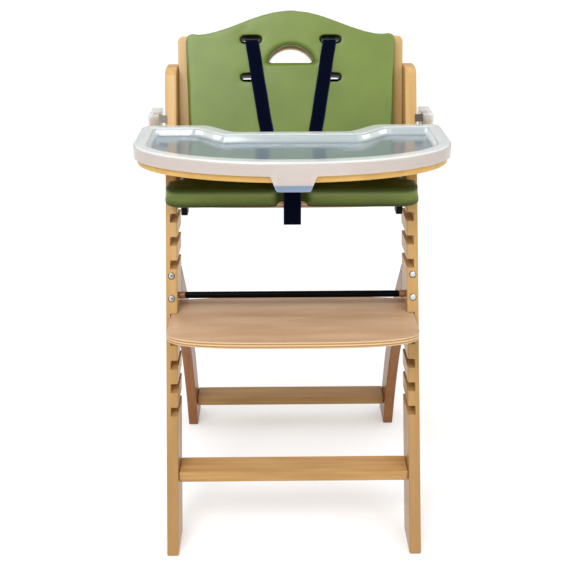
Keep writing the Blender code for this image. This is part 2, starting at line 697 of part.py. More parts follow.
def build_arm_cap(side, sign):
    """The clear cap over an arm's end, open below and behind the arm's shoulder."""
    outer_x = sorted((sign * (ARM[0] - 0.0026), sign * (ARM[1] + 0.0030)))
    inner_x = sorted((sign * (ARM[0] - GAP), sign * (ARM[1] + GAP)))
    corners = [(0.3290, 0.6895, 0), (ARM_END + 0.0030, 0.6895, 0), (ARM_END + 0.0030, 0.7140, 0.004),
               (0.3290, 0.7140, 0.003)]
    cap = add_object(f"{side}_arm_cap", *side_prism(rounded(corners), *outer_x), "clear_plastic")
    bevel(cap, 0.0012, 1)
    cut(cap, [box(inner_x, (0.3312, ARM_END + GAP), (0.68, ARM_TOP + GAP))])


def build_catch(side, sign):
    """The steel catch that hugs a leg's front corner, and the sprung black latch beside it."""
    web, lap = 0.0022, 0.0035
    inner, outer = OUTER + 0.0006, ARM[0] - 0.0032
    plan = [(OUTER - lap, -0.0022), (outer, -0.0022), (outer, 0.0070), (outer - web, 0.0070),
            (outer - web, -0.0006), (OUTER - lap, -0.0006)]
    rings = [[(sign * x, leg_front(z) + back, z) for x, back in plan] for z in CATCH_HEIGHTS]
    add_object(f"{side}_tray_catch", *lofted(rings), "steel")
    head = outer - inner - LATCH_TRAVEL + 0.0028
    profile = [(0, 0.0028), (0.0008, 0.0036), (head, 0.0036), (head, 0.0022), (head + 0.0075, 0.0022)]
    start = (sign * inner, *LATCH_AT)
    add_object(f"{side}_tray_latch", *turned(start, (sign, 0, 0), profile, 16), "black_plastic")


def apron_bottom(x, depth):
    """Height of the apron's lower edge: level round the sides, a tab in front, a lip behind."""
    if depth > TRAY_REAR - 0.030:
        return RIM_TOP - 0.0050
    if depth > TRAY_CENTRE:
        if abs(x) > TRAY_HALF - 0.004:
            return APRON_BOTTOM
        return RIM_TOP - 0.0050
    edge = (abs(x) - TAB_HALF) / TAB_SHOULDER
    if edge >= 1:
        return APRON_BOTTOM
    if edge <= 0:
        return TAB_BOTTOM
    return TAB_BOTTOM + (APRON_BOTTOM - TAB_BOTTOM) * (1 - math.cos(math.pi * edge)) / 2


def cover_ring(inset, heights):
    """The cover's plan moved inwards, with a height for each point."""
    return [(x, depth, heights(x, depth)) for x, depth in tray_outline(inset, TRAY_REAR - inset)]


def build_tray_cover():
    """The clear cover: a shallow dish with a round rim, an apron and a finger tab in front."""
    skin = COVER_SKIN
    floor = TRAY_BOARD[1] + 0.0008
    rings = [
        cover_ring(0.0330, lambda x, depth: floor),
        cover_ring(0.0300, lambda x, depth: floor + 0.0010),
        cover_ring(0.0240, lambda x, depth: RIM_TOP - skin - 0.0010),
        cover_ring(0.0210, lambda x, depth: RIM_TOP - skin),
        cover_ring(0.0040, lambda x, depth: RIM_TOP - skin),
        cover_ring(skin, lambda x, depth: RIM_TOP - 0.0045),
        cover_ring(skin, apron_bottom),
        cover_ring(0, apron_bottom),
        cover_ring(0, lambda x, depth: RIM_TOP - 0.0035),
        cover_ring(0.0030, lambda x, depth: RIM_TOP),
        cover_ring(0.0205, lambda x, depth: RIM_TOP),
        cover_ring(0.0245, lambda x, depth: RIM_TOP - 0.0020),
        cover_ring(0.0290, lambda x, depth: floor + skin + 0.0010),
        cover_ring(0.0320, lambda x, depth: floor + skin),
    ]
    add_object("tray_cover", *lofted(rings), "clear_plastic")


def main():
    """Build the whole chair."""
    for obj in list(bpy.data.objects):
        bpy.data.objects.remove(obj)
    for side, sign in SIDES.items():
        build_main_leg(side, sign)
        build_rear_leg(side, sign)
        build_leg_hardware(side, sign)
    build_stretchers()
    build_crossbar()
    build_back()
    build_seat()
    build_footrest()
    build_locks()
    build_harness()
    build_tray_board()
    build_tray_cover()


main()
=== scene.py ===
"""Looks of the baby high chair: lacquered beech, plywood edges, padded leather, webbing and the clear
tray cover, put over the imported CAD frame.

Metres, +Z up, the chair faces -Y. Depths are measured back from the front feet, and ORIGIN_DEPTH
carries them to the frame's Y. New pieces are numpy surfaces, and the cushions are filled by cloth pressure.
"""
import logging
import math
from dataclasses import dataclass
from enum import Enum

import bmesh
import bpy
import numpy as np
from mathutils import Matrix, Vector


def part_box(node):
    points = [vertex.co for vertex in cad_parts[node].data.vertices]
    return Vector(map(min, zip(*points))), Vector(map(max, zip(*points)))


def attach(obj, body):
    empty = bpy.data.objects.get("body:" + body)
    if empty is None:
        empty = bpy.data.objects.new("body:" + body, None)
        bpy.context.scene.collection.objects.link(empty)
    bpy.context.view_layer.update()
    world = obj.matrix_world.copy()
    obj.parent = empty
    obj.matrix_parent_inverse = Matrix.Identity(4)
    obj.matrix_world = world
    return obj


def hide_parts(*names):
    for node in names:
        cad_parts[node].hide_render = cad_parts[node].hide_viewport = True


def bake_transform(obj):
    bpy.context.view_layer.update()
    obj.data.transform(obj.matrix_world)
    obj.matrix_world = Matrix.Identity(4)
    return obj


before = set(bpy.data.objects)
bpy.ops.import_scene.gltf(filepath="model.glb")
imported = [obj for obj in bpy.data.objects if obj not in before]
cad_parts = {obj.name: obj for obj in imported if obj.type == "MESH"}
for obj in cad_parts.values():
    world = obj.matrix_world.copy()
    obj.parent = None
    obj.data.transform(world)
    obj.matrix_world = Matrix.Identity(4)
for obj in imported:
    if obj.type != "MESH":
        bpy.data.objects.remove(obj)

LOG = logging.getLogger("high_chair")
ORIGIN_DEPTH = 0.25845
SHARP_ANGLE = math.radians(42)
SIDES = {"left": -1, "right": 1}
SLOT_X = 0.0712
SLOT_ROWS = {"upper": 0.1400, "lower": 0.0735}

Point = tuple[float, float, float]
Socket = bpy.types.NodeSocket
ACROSS: Point = (1.0, 0.0, 0.0)
ALONG: Point = (0.0, 1.0, 0.0)
UPWARDS: Point = (0.0, 0.0, 1.0)


# ---------------------------------------------------------------- places


class Plane(Enum):
    """The planes that outlines are drawn in."""

    LEVEL = "level"
    BACK = "back"


BACK_FOOT = (0.355, 0.698)
BACK_LEAN = math.radians(19.3)


def to_world(plane: Plane, flat: np.ndarray) -> np.ndarray:
    """Carry points from a drawing plane to the frame.

    Args:
        plane: LEVEL for (x, depth, height), BACK for (x, up the back's slope, out of the panel's face).
        flat: points in that plane, last axis of three.

    Returns:
        The points in the frame, same shape.
    """
    a, b, c = flat[..., 0], flat[..., 1], flat[..., 2]
    if plane is Plane.LEVEL:
        return np.stack([a, b - ORIGIN_DEPTH, c], -1)
    depth = BACK_FOOT[0] + b * math.sin(BACK_LEAN) - c * math.cos(BACK_LEAN)
    height = BACK_FOOT[1] + b * math.cos(BACK_LEAN) + c * math.sin(BACK_LEAN)
    return np.stack([a, depth - ORIGIN_DEPTH, height], -1)


def to_back(world: np.ndarray) -> np.ndarray:
    """Carry frame points to the back's plane.

    Args:
        world: points in the frame.

    Returns:
        (x, up, out) for each point.
    """
    y, z = world[:, 1] + ORIGIN_DEPTH - BACK_FOOT[0], world[:, 2] - BACK_FOOT[1]
    sin, cos = math.sin(BACK_LEAN), math.cos(BACK_LEAN)
    return np.stack([world[:, 0], y * sin + z * cos, z * sin - y * cos], -1)


# ---------------------------------------------------------------- numbers


def smooth(values: np.ndarray, low: float, high: float) -> np.ndarray:
    """Smoothstep of values from low to high.

    Args:
        values: any array.
        low: where the result is 0.
        high: where the result is 1.

    Returns:
        3t^2 - 2t^3 with t clipped to 0..1.
    """
    t = np.clip((values - low) / (high - low), 0, 1)
    return t * t * (3 - 2 * t)


def eased(points: np.ndarray, steps: int, passes: int = 10) -> np.ndarray:
    """A line through points with its corners eased into curves, evenly spaced along its length.

    Args:
        points: (k, d) corners of the line.
        steps: number of points to return.
        passes: how often each inner point takes a quarter of both neighbours and half of itself.

    Returns:
        (steps, d) points with the same ends.
    """
    line = evenly(points, steps)
    for _ in range(passes):
        line[1:-1] = (line[:-2] + 2 * line[1:-1] + line[2:]) / 4
    return evenly(line, steps)


def evenly(dense: np.ndarray, steps: int) -> np.ndarray:
    """Resample a line so that its points are evenly spaced.

    Args:
        dense: (n, d) points of the line.
        steps: number of points to return.

    Returns:
        (steps, d) points.
    """
    length = np.concatenate([[0], np.cumsum(np.linalg.norm(np.diff(dense, axis=0), axis=1))])
    at = np.linspace(0, length[-1], steps)
    return np.stack([np.interp(at, length, dense[:, axis]) for axis in range(dense.shape[1])], -1)


def distance_to(points: np.ndarray, outline: np.ndarray) -> np.ndarray:
    """Distance from flat points to a closed outline.

    Args:
        points: (n, 2) points.
        outline: (m, 2) corners of the outline.

    Returns:
        (n,) distances to the nearest segment.
    """
    start, run = outline, np.roll(outline, -1, 0) - outline
    from_start = points[:, None, :] - start
    t = np.clip((from_start * run).sum(-1) / np.maximum((run * run).sum(-1), 1e-12), 0, 1)
    return np.linalg.norm(from_start - run * t[..., None], axis=-1).min(1)


def inwards(outline: np.ndarray) -> np.ndarray:
    """Inward unit normals of a closed outline.

    Args:
        outline: (n, 2) points.

    Returns:
        (n, 2) unit vectors, the mean of the two neighbouring edges' normals.
    """
    run = np.roll(outline, -1, 0) - np.roll(outline, 1, 0)
    normal = np.stack([-run[:, 1], run[:, 0]], -1)
    normal /= np.maximum(np.linalg.norm(normal, axis=1), 1e-12)[:, None]
    area = (outline[:, 0] * np.roll(outline[:, 1], -1) - np.roll(outline[:, 0], -1) * outline[:, 1]).sum()
    return normal if area > 0 else -normal


def pill(half: float, tall: float, steps: int = 14) -> np.ndarray:
    """A slot's outline: straight sides and half-round ends.

    Args:
        half: half its width.
        tall: half its height.
        steps: points on each end.

    Returns:
        (2 * steps, 2) points round the origin.
    """
    angle = np.linspace(-math.pi / 2, math.pi / 2, steps)
    right = np.stack([half - tall + tall * np.cos(angle), tall * np.sin(angle)], -1)
    return np.vstack([right, -right])


# ---------------------------------------------------------------- meshes


def add_piece(name: str, mesh: bpy.types.Mesh, material: bpy.types.Material) -> bpy.types.Object:
    """Link an object for a finished mesh, its normals turned outwards and its faces smooth.

    Args:
        name: of the object.
        mesh: in the frame's coordinates.
        material: its finish.

    Returns:
        The object, at the origin.
    """
    work = bmesh.new()
    work.from_mesh(mesh)
    bmesh.ops.recalc_face_normals(work, faces=work.faces)
    work.to_mesh(mesh)
    work.free()
    mesh.shade_smooth()
    mesh.set_sharp_from_angle(angle=SHARP_ANGLE)
    mesh.materials.clear()
    mesh.materials.append(material)
    piece = bpy.data.objects.new(name, mesh)
    bpy.context.scene.collection.objects.link(piece)
    return piece


def placed(piece: bpy.types.Object, body: str, node: str) -> bpy.types.Object:
    """Let a piece ride on a body in place of its CAD node."""
    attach(piece, body)
    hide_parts(node)
    return piece


def ring_mesh(name: str, rings: np.ndarray, wrap: bool = False,
              uv: np.ndarray | None = None) -> bpy.types.Mesh:
    """A closed surface through rings of equal counts.

    Vertex (r, c) is point c of ring r. Quads join it to the next point and the next ring. The first and
    last ring are capped, or joined to each other where wrap is set.

    Args:
        name: of the mesh.
        rings: (rings, points, 3) in the frame.
        wrap: join the last ring to the first.
        uv: (rings, points, 2) for a pattern that follows the surface.

    Returns:
        The mesh.
    """
    count, around = rings.shape[:2]
    index = np.arange(count * around).reshape(count, around)
    low = index if wrap else index[:-1]
    high = np.roll(index, -1, 0) if wrap else index[1:]
    quads = np.stack([low, np.roll(low, -1, 1), np.roll(high, -1, 1), high], -1).reshape(-1, 4).tolist()
    caps = [] if wrap else [index[0, ::-1].tolist(), index[-1].tolist()]
    mesh = bpy.data.meshes.new(name)
    mesh.from_pydata(rings.reshape(-1, 3).tolist(), [], quads + caps)
    if uv is not None:
        corners = np.empty(len(mesh.loops), int)
        mesh.loops.foreach_get("vertex_index", corners)
        layer = mesh.uv_layers.new(name="UVMap")
        layer.data.foreach_set("uv", uv.reshape(-1, 2)[corners].astype(np.float32).ravel())
    return mesh


def with_height(plan: np.ndarray, height: np.ndarray | float) -> np.ndarray:
    """A plan's (x, depth) points as (x, depth, height)."""
    return np.concatenate([plan, np.broadcast_to(height, (*plan.shape[:-1], 1))], -1)


def slab_rings(outline: np.ndarray, low: float, high: float, radius: float, steps: int = 5) -> np.ndarray:
    """Rings of a level slab whose two rims are rounded by quarter circles.

    Args:
        outline: (n, 2) closed plan.
        low: lower face.
        high: upper face.
        radius: of the rounded rims.
        steps: rings on each quarter circle.

    Returns:
        (rings, n, 3) points: the outline moved inwards by r(1 - sin) while it rises by r(1 - cos).
    """
    angle = np.linspace(0, math.pi / 2, steps)
    inset = radius * (1 - np.sin(angle))
    lift = radius * (1 - np.cos(angle))
    insets = np.concatenate([inset, inset[::-1]])
    levels = np.concatenate([low + lift, (high - lift)[::-1]])
    flat = outline + insets[:, None, None] * inwards(outline)
    return to_world(Plane.LEVEL, with_height(flat, levels[:, None, None]))


def coordinates(mesh: bpy.types.Mesh) -> np.ndarray:
    """The mesh's points as an (n, 3) array."""
    values = np.empty(len(mesh.vertices) * 3)
    mesh.vertices.foreach_get("co", values)
    return values.reshape(-1, 3)


def put_coordinates(mesh: bpy.types.Mesh, values: np.ndarray) -> None:
    """Write an (n, 3) array back as the mesh's points."""
    mesh.vertices.foreach_set("co", values.astype(np.float32).ravel())
    mesh.update()


def applied(piece: bpy.types.Object) -> bpy.types.Mesh:
    """A mesh with the object's modifiers applied, and the object's own modifiers cleared."""
    graph = bpy.context.evaluated_depsgraph_get()
    mesh = bpy.data.meshes.new_from_object(piece.evaluated_get(graph))
    piece.modifiers.clear()
    return mesh


# ---------------------------------------------------------------- finishes


def linear(code: str) -> tuple[float, float, float, float]:
    """An sRGB hex colour as linear RGBA.

    Args:
        code: such as "#8FA25C".

    Returns:
        The colour for a shader socket.
    """
    parts = np.array([int(code[at:at + 2], 16) / 255 for at in (1, 3, 5)])
    parts = np.where(parts <= 0.04045, parts / 12.92, ((parts + 0.055) / 1.055) ** 2.4)
    return (*parts.tolist(), 1.0)


def fill(node: bpy.types.Node, inputs: dict) -> None:
    """Set or link a node's sockets, by name or number."""
    for key, value in inputs.items():
        if isinstance(value, Socket):
            node.id_data.links.new(value, node.inputs[key])
        else:
            node.inputs[key].default_value = value


def add_node(tree: bpy.types.NodeTree, kind: str, inputs: dict | None = None,
             **settings: object) -> bpy.types.Node:
    """Add one node.

    Args:
        tree: that it goes in.
        kind: the node's type.
        inputs: socket name or number to a value or to another node's output.
        settings: properties of the node.

    Returns:
        The node.
    """
    node = tree.nodes.new(kind)
    for key, value in settings.items():
        setattr(node, key, value)
    fill(node, inputs or {})
    return node


class Shader:
    """A material's node tree, with the few moves that every finish here needs."""

    def __init__(self, name: str) -> None:
        """Start an empty tree with a Principled shader wired to the output."""
        self.material = bpy.data.materials.new(name)
        self.material.use_nodes = True
        self.tree = self.material.node_tree
        self.surface = self.tree.nodes["Principled BSDF"]
        self.where = self.add("ShaderNodeTexCoord").outputs["Object"]

    def add(self, kind: str, inputs: dict | None = None, **settings: object) -> bpy.types.Node:
        """Add one node to this tree."""
        return add_node(self.tree, kind, inputs, **settings)

    def finished(self, inputs: dict) -> bpy.types.Material:
        """The material, with the surface's sockets filled."""
        fill(self.surface, inputs)
        return self.material

    def maths(self, operation: str, *values: object) -> Socket:
        """The result of one maths operation."""
        return self.add("ShaderNodeMath", dict(enumerate(values)), operation=operation).outputs[0]

    def inverse(self, value: object) -> Socket:
        """One less the value."""
        return self.maths("SUBTRACT", 1.0, value)

    def mix(self, factor: object, first: object, second: object) -> Socket:
        """Mix two colours by a factor, each a socket or an sRGB hex."""
        first, second = (linear(each) if isinstance(each, str) else each for each in (first, second))
        return self.add("ShaderNodeMix", {0: factor, 6: first, 7: second}, data_type="RGBA").outputs[2]

    def between(self, value: object, low: float, high: float) -> Socket:
        """A value mapped smoothly from low..high to 0..1."""
        inputs = {"Value": value, "From Min": low, "From Max": high}
        return self.add("ShaderNodeMapRange", inputs, interpolation_type="SMOOTHSTEP").outputs[0]

    def along(self, direction: Point) -> Socket:
        """Distance along a direction, in metres."""
        inputs = {0: self.where, 1: direction}
        return self.add("ShaderNodeVectorMath", inputs, operation="DOT_PRODUCT").outputs["Value"]

    def stretched(self, axes: np.ndarray, long: float, wide: float) -> Socket:
        """Coordinates along three axes in metres, the first counted in long and the others in wide."""
        parts = [self.maths("DIVIDE", self.along(tuple(axis)), size)
                 for axis, size in zip(axes.tolist(), (long, wide, wide))]
        return self.add("ShaderNodeCombineXYZ", dict(enumerate(parts))).outputs[0]

    def noise(self, where: object, scale: float = 1.0, detail: float = 2.0) -> Socket:
        """Noise from 0 to 1."""
        return self.add("ShaderNodeTexNoise", {"Vector": where, "Scale": scale, "Detail": detail}).outputs[0]

    def bump(self, height: object, distance: float, strength: float, **under: Socket) -> Socket:
        """A normal bumped by a height of that many metres, over the normal in under if there is one."""
        inputs = {"Height": height, "Distance": distance, "Strength": strength, **under}
        return self.add("ShaderNodeBump", inputs).outputs[0]

    def facing(self, which: str, direction: Point) -> Socket:
        """How far a normal, "Normal" or "True Normal", turns to a direction, from -1 to 1."""
        normal = self.add("ShaderNodeNewGeometry").outputs[which]
        turned = self.add("ShaderNodeVectorMath", {0: normal, 1: direction}, operation="DOT_PRODUCT")
        return turned.outputs["Value"]


@dataclass(frozen=True)
class Plies:
    """Veneers on a board's edge."""

    normal: Point
    start: float
    thickness: float
    count: int = 5


@dataclass(frozen=True)
class Wood:
    """Clear-lacquered wood, its grain along one direction."""

    name: str
    along: Point
    light: str
    dark: str
    fleck: str = "#B98A58"
    figure: float = 0.010
    plies: Plies | None = None
    # foot: colour of painted shade that the wood darkens to towards the floor
    foot: str = ""
    roughness: float = 0.38

    def build(self) -> bpy.types.Material:
        """The wood's material.

        Returns:
            Broad figure and fine streaks stretched along the grain, with beech's short dark flecks. The
            lacquer is a thin coat, so edges catch a soft highlight. Where foot is set, the wood turns to
            that colour towards the floor: painted shade, darker low down where the legs get less light.
        """
        shader = Shader(self.name)
        first = Vector(self.along).normalized()
        second = first.orthogonal().normalized()
        axes = np.array([first, second, first.cross(second)])
        figure = shader.noise(shader.stretched(axes, 0.160, self.figure), detail=3)
        streak = shader.noise(shader.stretched(axes, 0.045, 0.0011), detail=2)
        fleck = shader.noise(shader.stretched(axes, 0.0034, 0.00042), detail=1)
        colour = shader.mix(shader.between(figure, 0.30, 0.70), self.light, self.dark)
        streaks = shader.maths("MULTIPLY", shader.between(streak, 0.45, 0.8), 0.35)
        colour = shader.mix(streaks, colour, self.dark)
        specks = shader.maths("MULTIPLY", shader.between(fleck, 0.63, 0.72), 0.45)
        colour = shader.mix(specks, colour, self.fleck)
        # Painted shade: the wood darkens towards the floor, where the legs get less light.
        if self.foot:
            low = shader.inverse(shader.between(shader.along(UPWARDS), 0.10, 0.60))
            colour = shader.mix(shader.maths("MULTIPLY", low, 0.8), colour, self.foot)
        if self.plies:
            colour = self.edge(shader, colour)
        return shader.finished({
            "Base Color": colour, "Roughness": self.roughness, "Specular IOR Level": 0.3,
            "Coat Weight": 0.15, "Coat Roughness": 0.18, "Normal": shader.bump(streak, 0.00004, 0.5)})

    def edge(self, shader: Shader, colour: Socket) -> Socket:
        """Plies across the board's edge.

        Args:
            shader: the tree.
            colour: of the faces.

        Returns:
            The colour: veneers alternate long grain and darker end grain between thin glue lines, only
            where the surface turns away from the board's faces.
        """
        plies = self.plies
        level = shader.maths("MULTIPLY", shader.maths("SUBTRACT", shader.along(plies.normal), plies.start),
                             plies.count / plies.thickness)
        glue = shader.inverse(shader.between(shader.maths("PINGPONG", level, 0.5), 0.03, 0.12))
        turn = shader.maths("MODULO", shader.maths("FLOOR", level), 2.0)
        end_grain = shader.noise(shader.where, 900.0, 2)
        dark = shader.mix(shader.between(end_grain, 0.3, 0.7), "#9A6C42", "#B58A5A")
        veneer = shader.mix(turn, "#D9BC8E", dark)
        veneer = shader.mix(shader.maths("MULTIPLY", glue, 0.6), veneer, "#7A4E2A")
        facing = shader.facing("True Normal", plies.normal)
        side = shader.maths("LESS_THAN", shader.maths("ABSOLUTE", facing), 0.55)
        return shader.mix(side, colour, veneer)


@dataclass(frozen=True)
class Leather:
    """Embossed synthetic leather, coated smooth over foam."""

    name: str
    colour: str
    # shade: colour painted where the piece's painted-shade attribute is high
    shade: str
    grain: float = 0.0011
    roughness: float = 0.40

    def build(self) -> bpy.types.Material:
        """The leather's material.

        Returns:
            Fine embossed cells that break up the highlight, a slow change of tone, and painted shade where
            the skin is drawn in at holes and edges and where the tray shadows it (the piece's painted-shade
            attribute), where it is also duller.
        """
        shader = Shader(self.name)
        cells = shader.add("ShaderNodeTexVoronoi", {
            "Vector": shader.where, "Scale": 1 / self.grain}).outputs[0]
        cloud = shader.noise(shader.where, 1 / 0.060, 2)
        painted_shade = shader.add("ShaderNodeAttribute", attribute_name="painted_shade").outputs["Fac"]
        colour = shader.mix(shader.between(cloud, 0.3, 0.7), self.colour, "#6A7D30")
        # Painted shade: the shade colour is mixed in by the painted-shade attribute, and the specular is
        # lowered there.
        colour = shader.mix(painted_shade, colour, self.shade)
        wrinkle = shader.noise(shader.where, 1 / 0.018, 3)
        fine = shader.bump(cells, 0.00005, 0.35)
        gloss = shader.maths("MULTIPLY_ADD", painted_shade, -0.45, 0.5)
        return shader.finished({
            "Base Color": colour, "Roughness": self.roughness, "Specular IOR Level": gloss,
            "Normal": shader.bump(wrinkle, 0.0006, 0.12, Normal=fine)})


@dataclass(frozen=True)
class Webbing:
    """Flat woven strap, dark with slightly paler selvedges."""

    name: str
    colour: str = "#060818"
    selvedge: str = "#20283F"
    half: float = 0.012
    rib: float = 0.0017

    def build(self) -> bpy.types.Material:
        """The webbing's material.

        Returns:
            A plain weave on the strap's own UV map, in metres: warp ribs run along it and weft crosses them,
            so grazing light shows fine ribs. The outer threads are paler.
        """
        shader = Shader(self.name)
        uv = shader.add("ShaderNodeTexCoord").outputs["UV"]
        split = shader.add("ShaderNodeSeparateXYZ", {0: uv})
        across, run = split.outputs[0], split.outputs[1]
        turns = 2 * math.pi / self.rib
        warp = shader.maths("SINE", shader.maths("MULTIPLY", across, turns))
        weft = shader.maths("SINE", shader.maths("MULTIPLY", run, turns))
        weave = shader.maths("MULTIPLY_ADD", shader.maths("MULTIPLY", warp, weft), 0.5, 0.5)
        edge = shader.between(shader.maths("ABSOLUTE", across), self.half - 0.0022, self.half - 0.0010)
        colour = shader.mix(weave, self.colour, "#0A0E1E")
        colour = shader.mix(shader.maths("MULTIPLY", edge, 0.6), colour, self.selvedge)
        return shader.finished({
            "Base Color": colour, "Roughness": 0.62, "Specular IOR Level": 0.0,
            "Normal": shader.bump(weave, 0.00018, 0.7)})


@dataclass(frozen=True)
class Moulded:
    """Moulded or coated part in one colour."""

    name: str
    colour: str
    roughness: float
    metallic: float = 0.0
    coat: float = 0.0
    texture: float = 0.0
    specular: float = 0.5

    def build(self) -> bpy.types.Material:
        """The material: one colour, its roughness broken up by faint flow or polish marks."""
        shader = Shader(self.name)
        cloud = shader.noise(shader.where, 1 / 0.012, 3)
        roughness = shader.add("ShaderNodeMapRange", {
            "Value": cloud, "To Min": self.roughness * 0.85, "To Max": self.roughness * 1.15}).outputs[0]
        if self.texture:
            grain = shader.noise(shader.where, 1 / 0.0008, 2)
            fill(shader.surface, {"Normal": shader.bump(grain, self.texture, 0.5)})
        return shader.finished({
            "Base Color": linear(self.colour), "Roughness": roughness, "Metallic": self.metallic,
            "Coat Weight": self.coat, "Specular IOR Level": self.specular})


@dataclass(frozen=True)
class Frosted:
    """Milky translucent plastic, injection moulded."""

    name: str
    colour: str = "#F4F7F7"
    deep: str = "#8FA3BE"
    lip: tuple[float, float] = (0.6620, 0.6645)
    # skirt, wall and basin are painted light: the wood seen through the front apron, grey shade on the walls
    # further back, and shade and reflection on the basin's floor.
    skirt: str = "#DDD2CB"
    wall: str = "#C9D4DA"
    basin: str = "#93A3AC"
    floor: tuple[float, float] = (0.6900, 0.6930)
    transmission: float = 0.40
    alpha: float = 1.0
    roughness: float = 0.15

    def build(self) -> bpy.types.Material:
        """The material.

        Returns:
            Part of the light passes through and is blurred, so what lies under shows faintly. Where the
            finger tab's lip makes the plastic thick, below the two heights in lip, it turns blue. The
            basin's level floor gets painted blue-grey shade and reflection over its shadow. Upright faces in
            front are painted with the colour of the wood seen through them, and the basin's far wall with
            painted grey shade. An alpha below 1 lets the light straight through.
        """
        shader = Shader(self.name)
        cloud = shader.noise(shader.where, 1 / 0.030, 2)
        colour = shader.mix(shader.between(cloud, 0.3, 0.7), self.colour, "#EDF2F3")
        height = shader.along(UPWARDS)
        facing = shader.facing("Normal", UPWARDS)
        # Painted light on upright faces: the wood seen through the apron in front, grey shade on the walls
        # further back.
        upright = shader.inverse(shader.between(shader.maths("ABSOLUTE", facing), 0.35, 0.80))
        side = shader.mix(shader.between(shader.along(ALONG), -0.06, -0.04), self.skirt, self.wall)
        colour = shader.mix(upright, colour, side)
        colour = shader.mix(shader.between(height, *self.lip), self.deep, colour)
        # Painted shade and reflection on the basin's level floor.
        level = shader.inverse(shader.between(height, *self.floor))
        level = shader.maths("MULTIPLY", level, shader.between(facing, 0.5, 0.9))
        return shader.finished({
            "Base Color": shader.mix(level, colour, self.basin), "Roughness": self.roughness,
            "Transmission Weight": self.transmission, "Alpha": self.alpha, "IOR": 1.46,
            "Coat Weight": 0.4, "Coat Roughness": 0.06, "Subsurface Weight": 0.15,
            "Subsurface Radius": (0.006, 0.006, 0.007), "Subsurface Scale": 1.0})


LEG_DIRECTION = (0.0, 0.4113, 0.9115)
REAR_DIRECTION = (0.0, -0.42, 0.9075)
BACK_NORMAL = (0.0, -math.cos(BACK_LEAN), math.sin(BACK_LEAN))
BACK_UP = (0.0, math.sin(BACK_LEAN), math.cos(BACK_LEAN))
BACK_FACE = -(BACK_FOOT[0] - ORIGIN_DEPTH) * math.cos(BACK_LEAN) + BACK_FOOT[1] * math.sin(BACK_LEAN)


class Finishes:
    """All the materials, each made once."""

    def __init__(self) -> None:
        """Build them."""
        # The front legs' foot colour is painted shade towards the floor.
        self.leg = Wood("lacquered beech, front legs", LEG_DIRECTION, "#C9A166", "#BA9254",
                        foot="#9B7647").build()
        # The rear legs and the rear rail are the same beech as the front parts, given darker colours:
        # painted shade, as they stand back under the seat.
        self.rear_leg = Wood("lacquered beech, rear legs", REAR_DIRECTION, "#8C5826", "#7C4A1A").build()
        self.rail = Wood("lacquered beech, rails", ACROSS, "#BB9158", "#A97E46").build()
        self.shaded_rear_rail = Wood("lacquered beech, rear rail", ACROSS, "#A17C48", "#8F6B38").build()
        self.arm = Wood("lacquered beech, tray arms", ALONG, "#D3AE62", "#C59C4E").build()
        self.tray = Wood("lacquered beech, tray board", ACROSS, "#D6AC60", "#C89C4E").build()
        self.seat = Wood("beech plywood, seat", ACROSS, "#C3A47C", "#B59469", figure=0.022,
                         plies=Plies(UPWARDS, 0.5791, 0.0128)).build()
        self.footrest = Wood("beech plywood, footrest", ACROSS, "#BFA082", "#B09070", figure=0.022,
                             plies=Plies(UPWARDS, 0.3786, 0.0128)).build()
        self.back = Wood("beech plywood, back", BACK_UP, "#CBA86E", "#BB9659", figure=0.022,
                         plies=Plies(BACK_NORMAL, BACK_FACE - 0.012, 0.012)).build()
        # 1A1D05 is the leather's painted shade colour.
        self.leather = Leather("embossed synthetic leather, olive", "#63762C", "#1A1D05").build()
        self.webbing = Webbing("woven webbing, midnight", half=0.012).build()
        self.wide_webbing = Webbing("woven webbing, midnight, wide", half=0.015).build()
        self.bar = Moulded("powder-coated steel, black", "#030305", 0.30,
                           texture=0.00002, specular=0.04).build()
        self.plastic = Moulded("moulded nylon, black", "#040406", 0.42,
                               texture=0.00002, specular=0.08).build()
        self.steel = Moulded("zinc-plated steel, bright", "#D8D9DC", 0.16, metallic=1.0).build()
        self.catch = Moulded("zinc-plated steel, tarnished", "#55504A", 0.40, metallic=1.0).build()
        self.collar = Moulded("moulded plastic, brown", "#7B532E", 0.40).build()
        self.red = Moulded("moulded plastic, red", "#B02A1E", 0.35, coat=0.3).build()
        self.cover = Frosted("moulded translucent plastic, tray cover").build()
        self.cap = Frosted("moulded translucent plastic, arm caps", colour="#D2D6D4", skirt="#DCDAD0",
                           wall="#DCDAD0", transmission=0.0, alpha=0.45, roughness=0.16).build()


# ---------------------------------------------------------------- sub-assemblies


@dataclass
class Woodwork:
    """The legs, rails, bolts and other hard parts that stay as the CAD made them."""

    finishes: Finishes

    def dress(self) -> None:
        """Give each CAD part that stays its material."""
        finishes = self.finishes
        wanted = {
            "leg": finishes.leg, "rear_leg": finishes.rear_leg, "tray_arm": finishes.arm,
            "front_stretcher": finishes.rail, "rear_stretcher": finishes.shaded_rear_rail,
            "seat_plate": finishes.seat, "back_panel": finishes.back,
            "arm_cap": finishes.cap, "buckle": finishes.plastic, "buckle_button": finishes.red,
            "tray_catch": finishes.catch, "tray_latch": finishes.plastic,
            "seat_lock": finishes.plastic, "footrest_lock": finishes.plastic,
        }
        for name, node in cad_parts.items():
            base = name.removeprefix("left_").removeprefix("right_")
            material = wanted.get(base)
            if material is None and (base.endswith("bolt") or base.endswith("nut")):
                material = finishes.steel
            if material is not None:
                for holder in node.material_slots:
                    holder.material = material
        LOG.info("hard parts dressed")


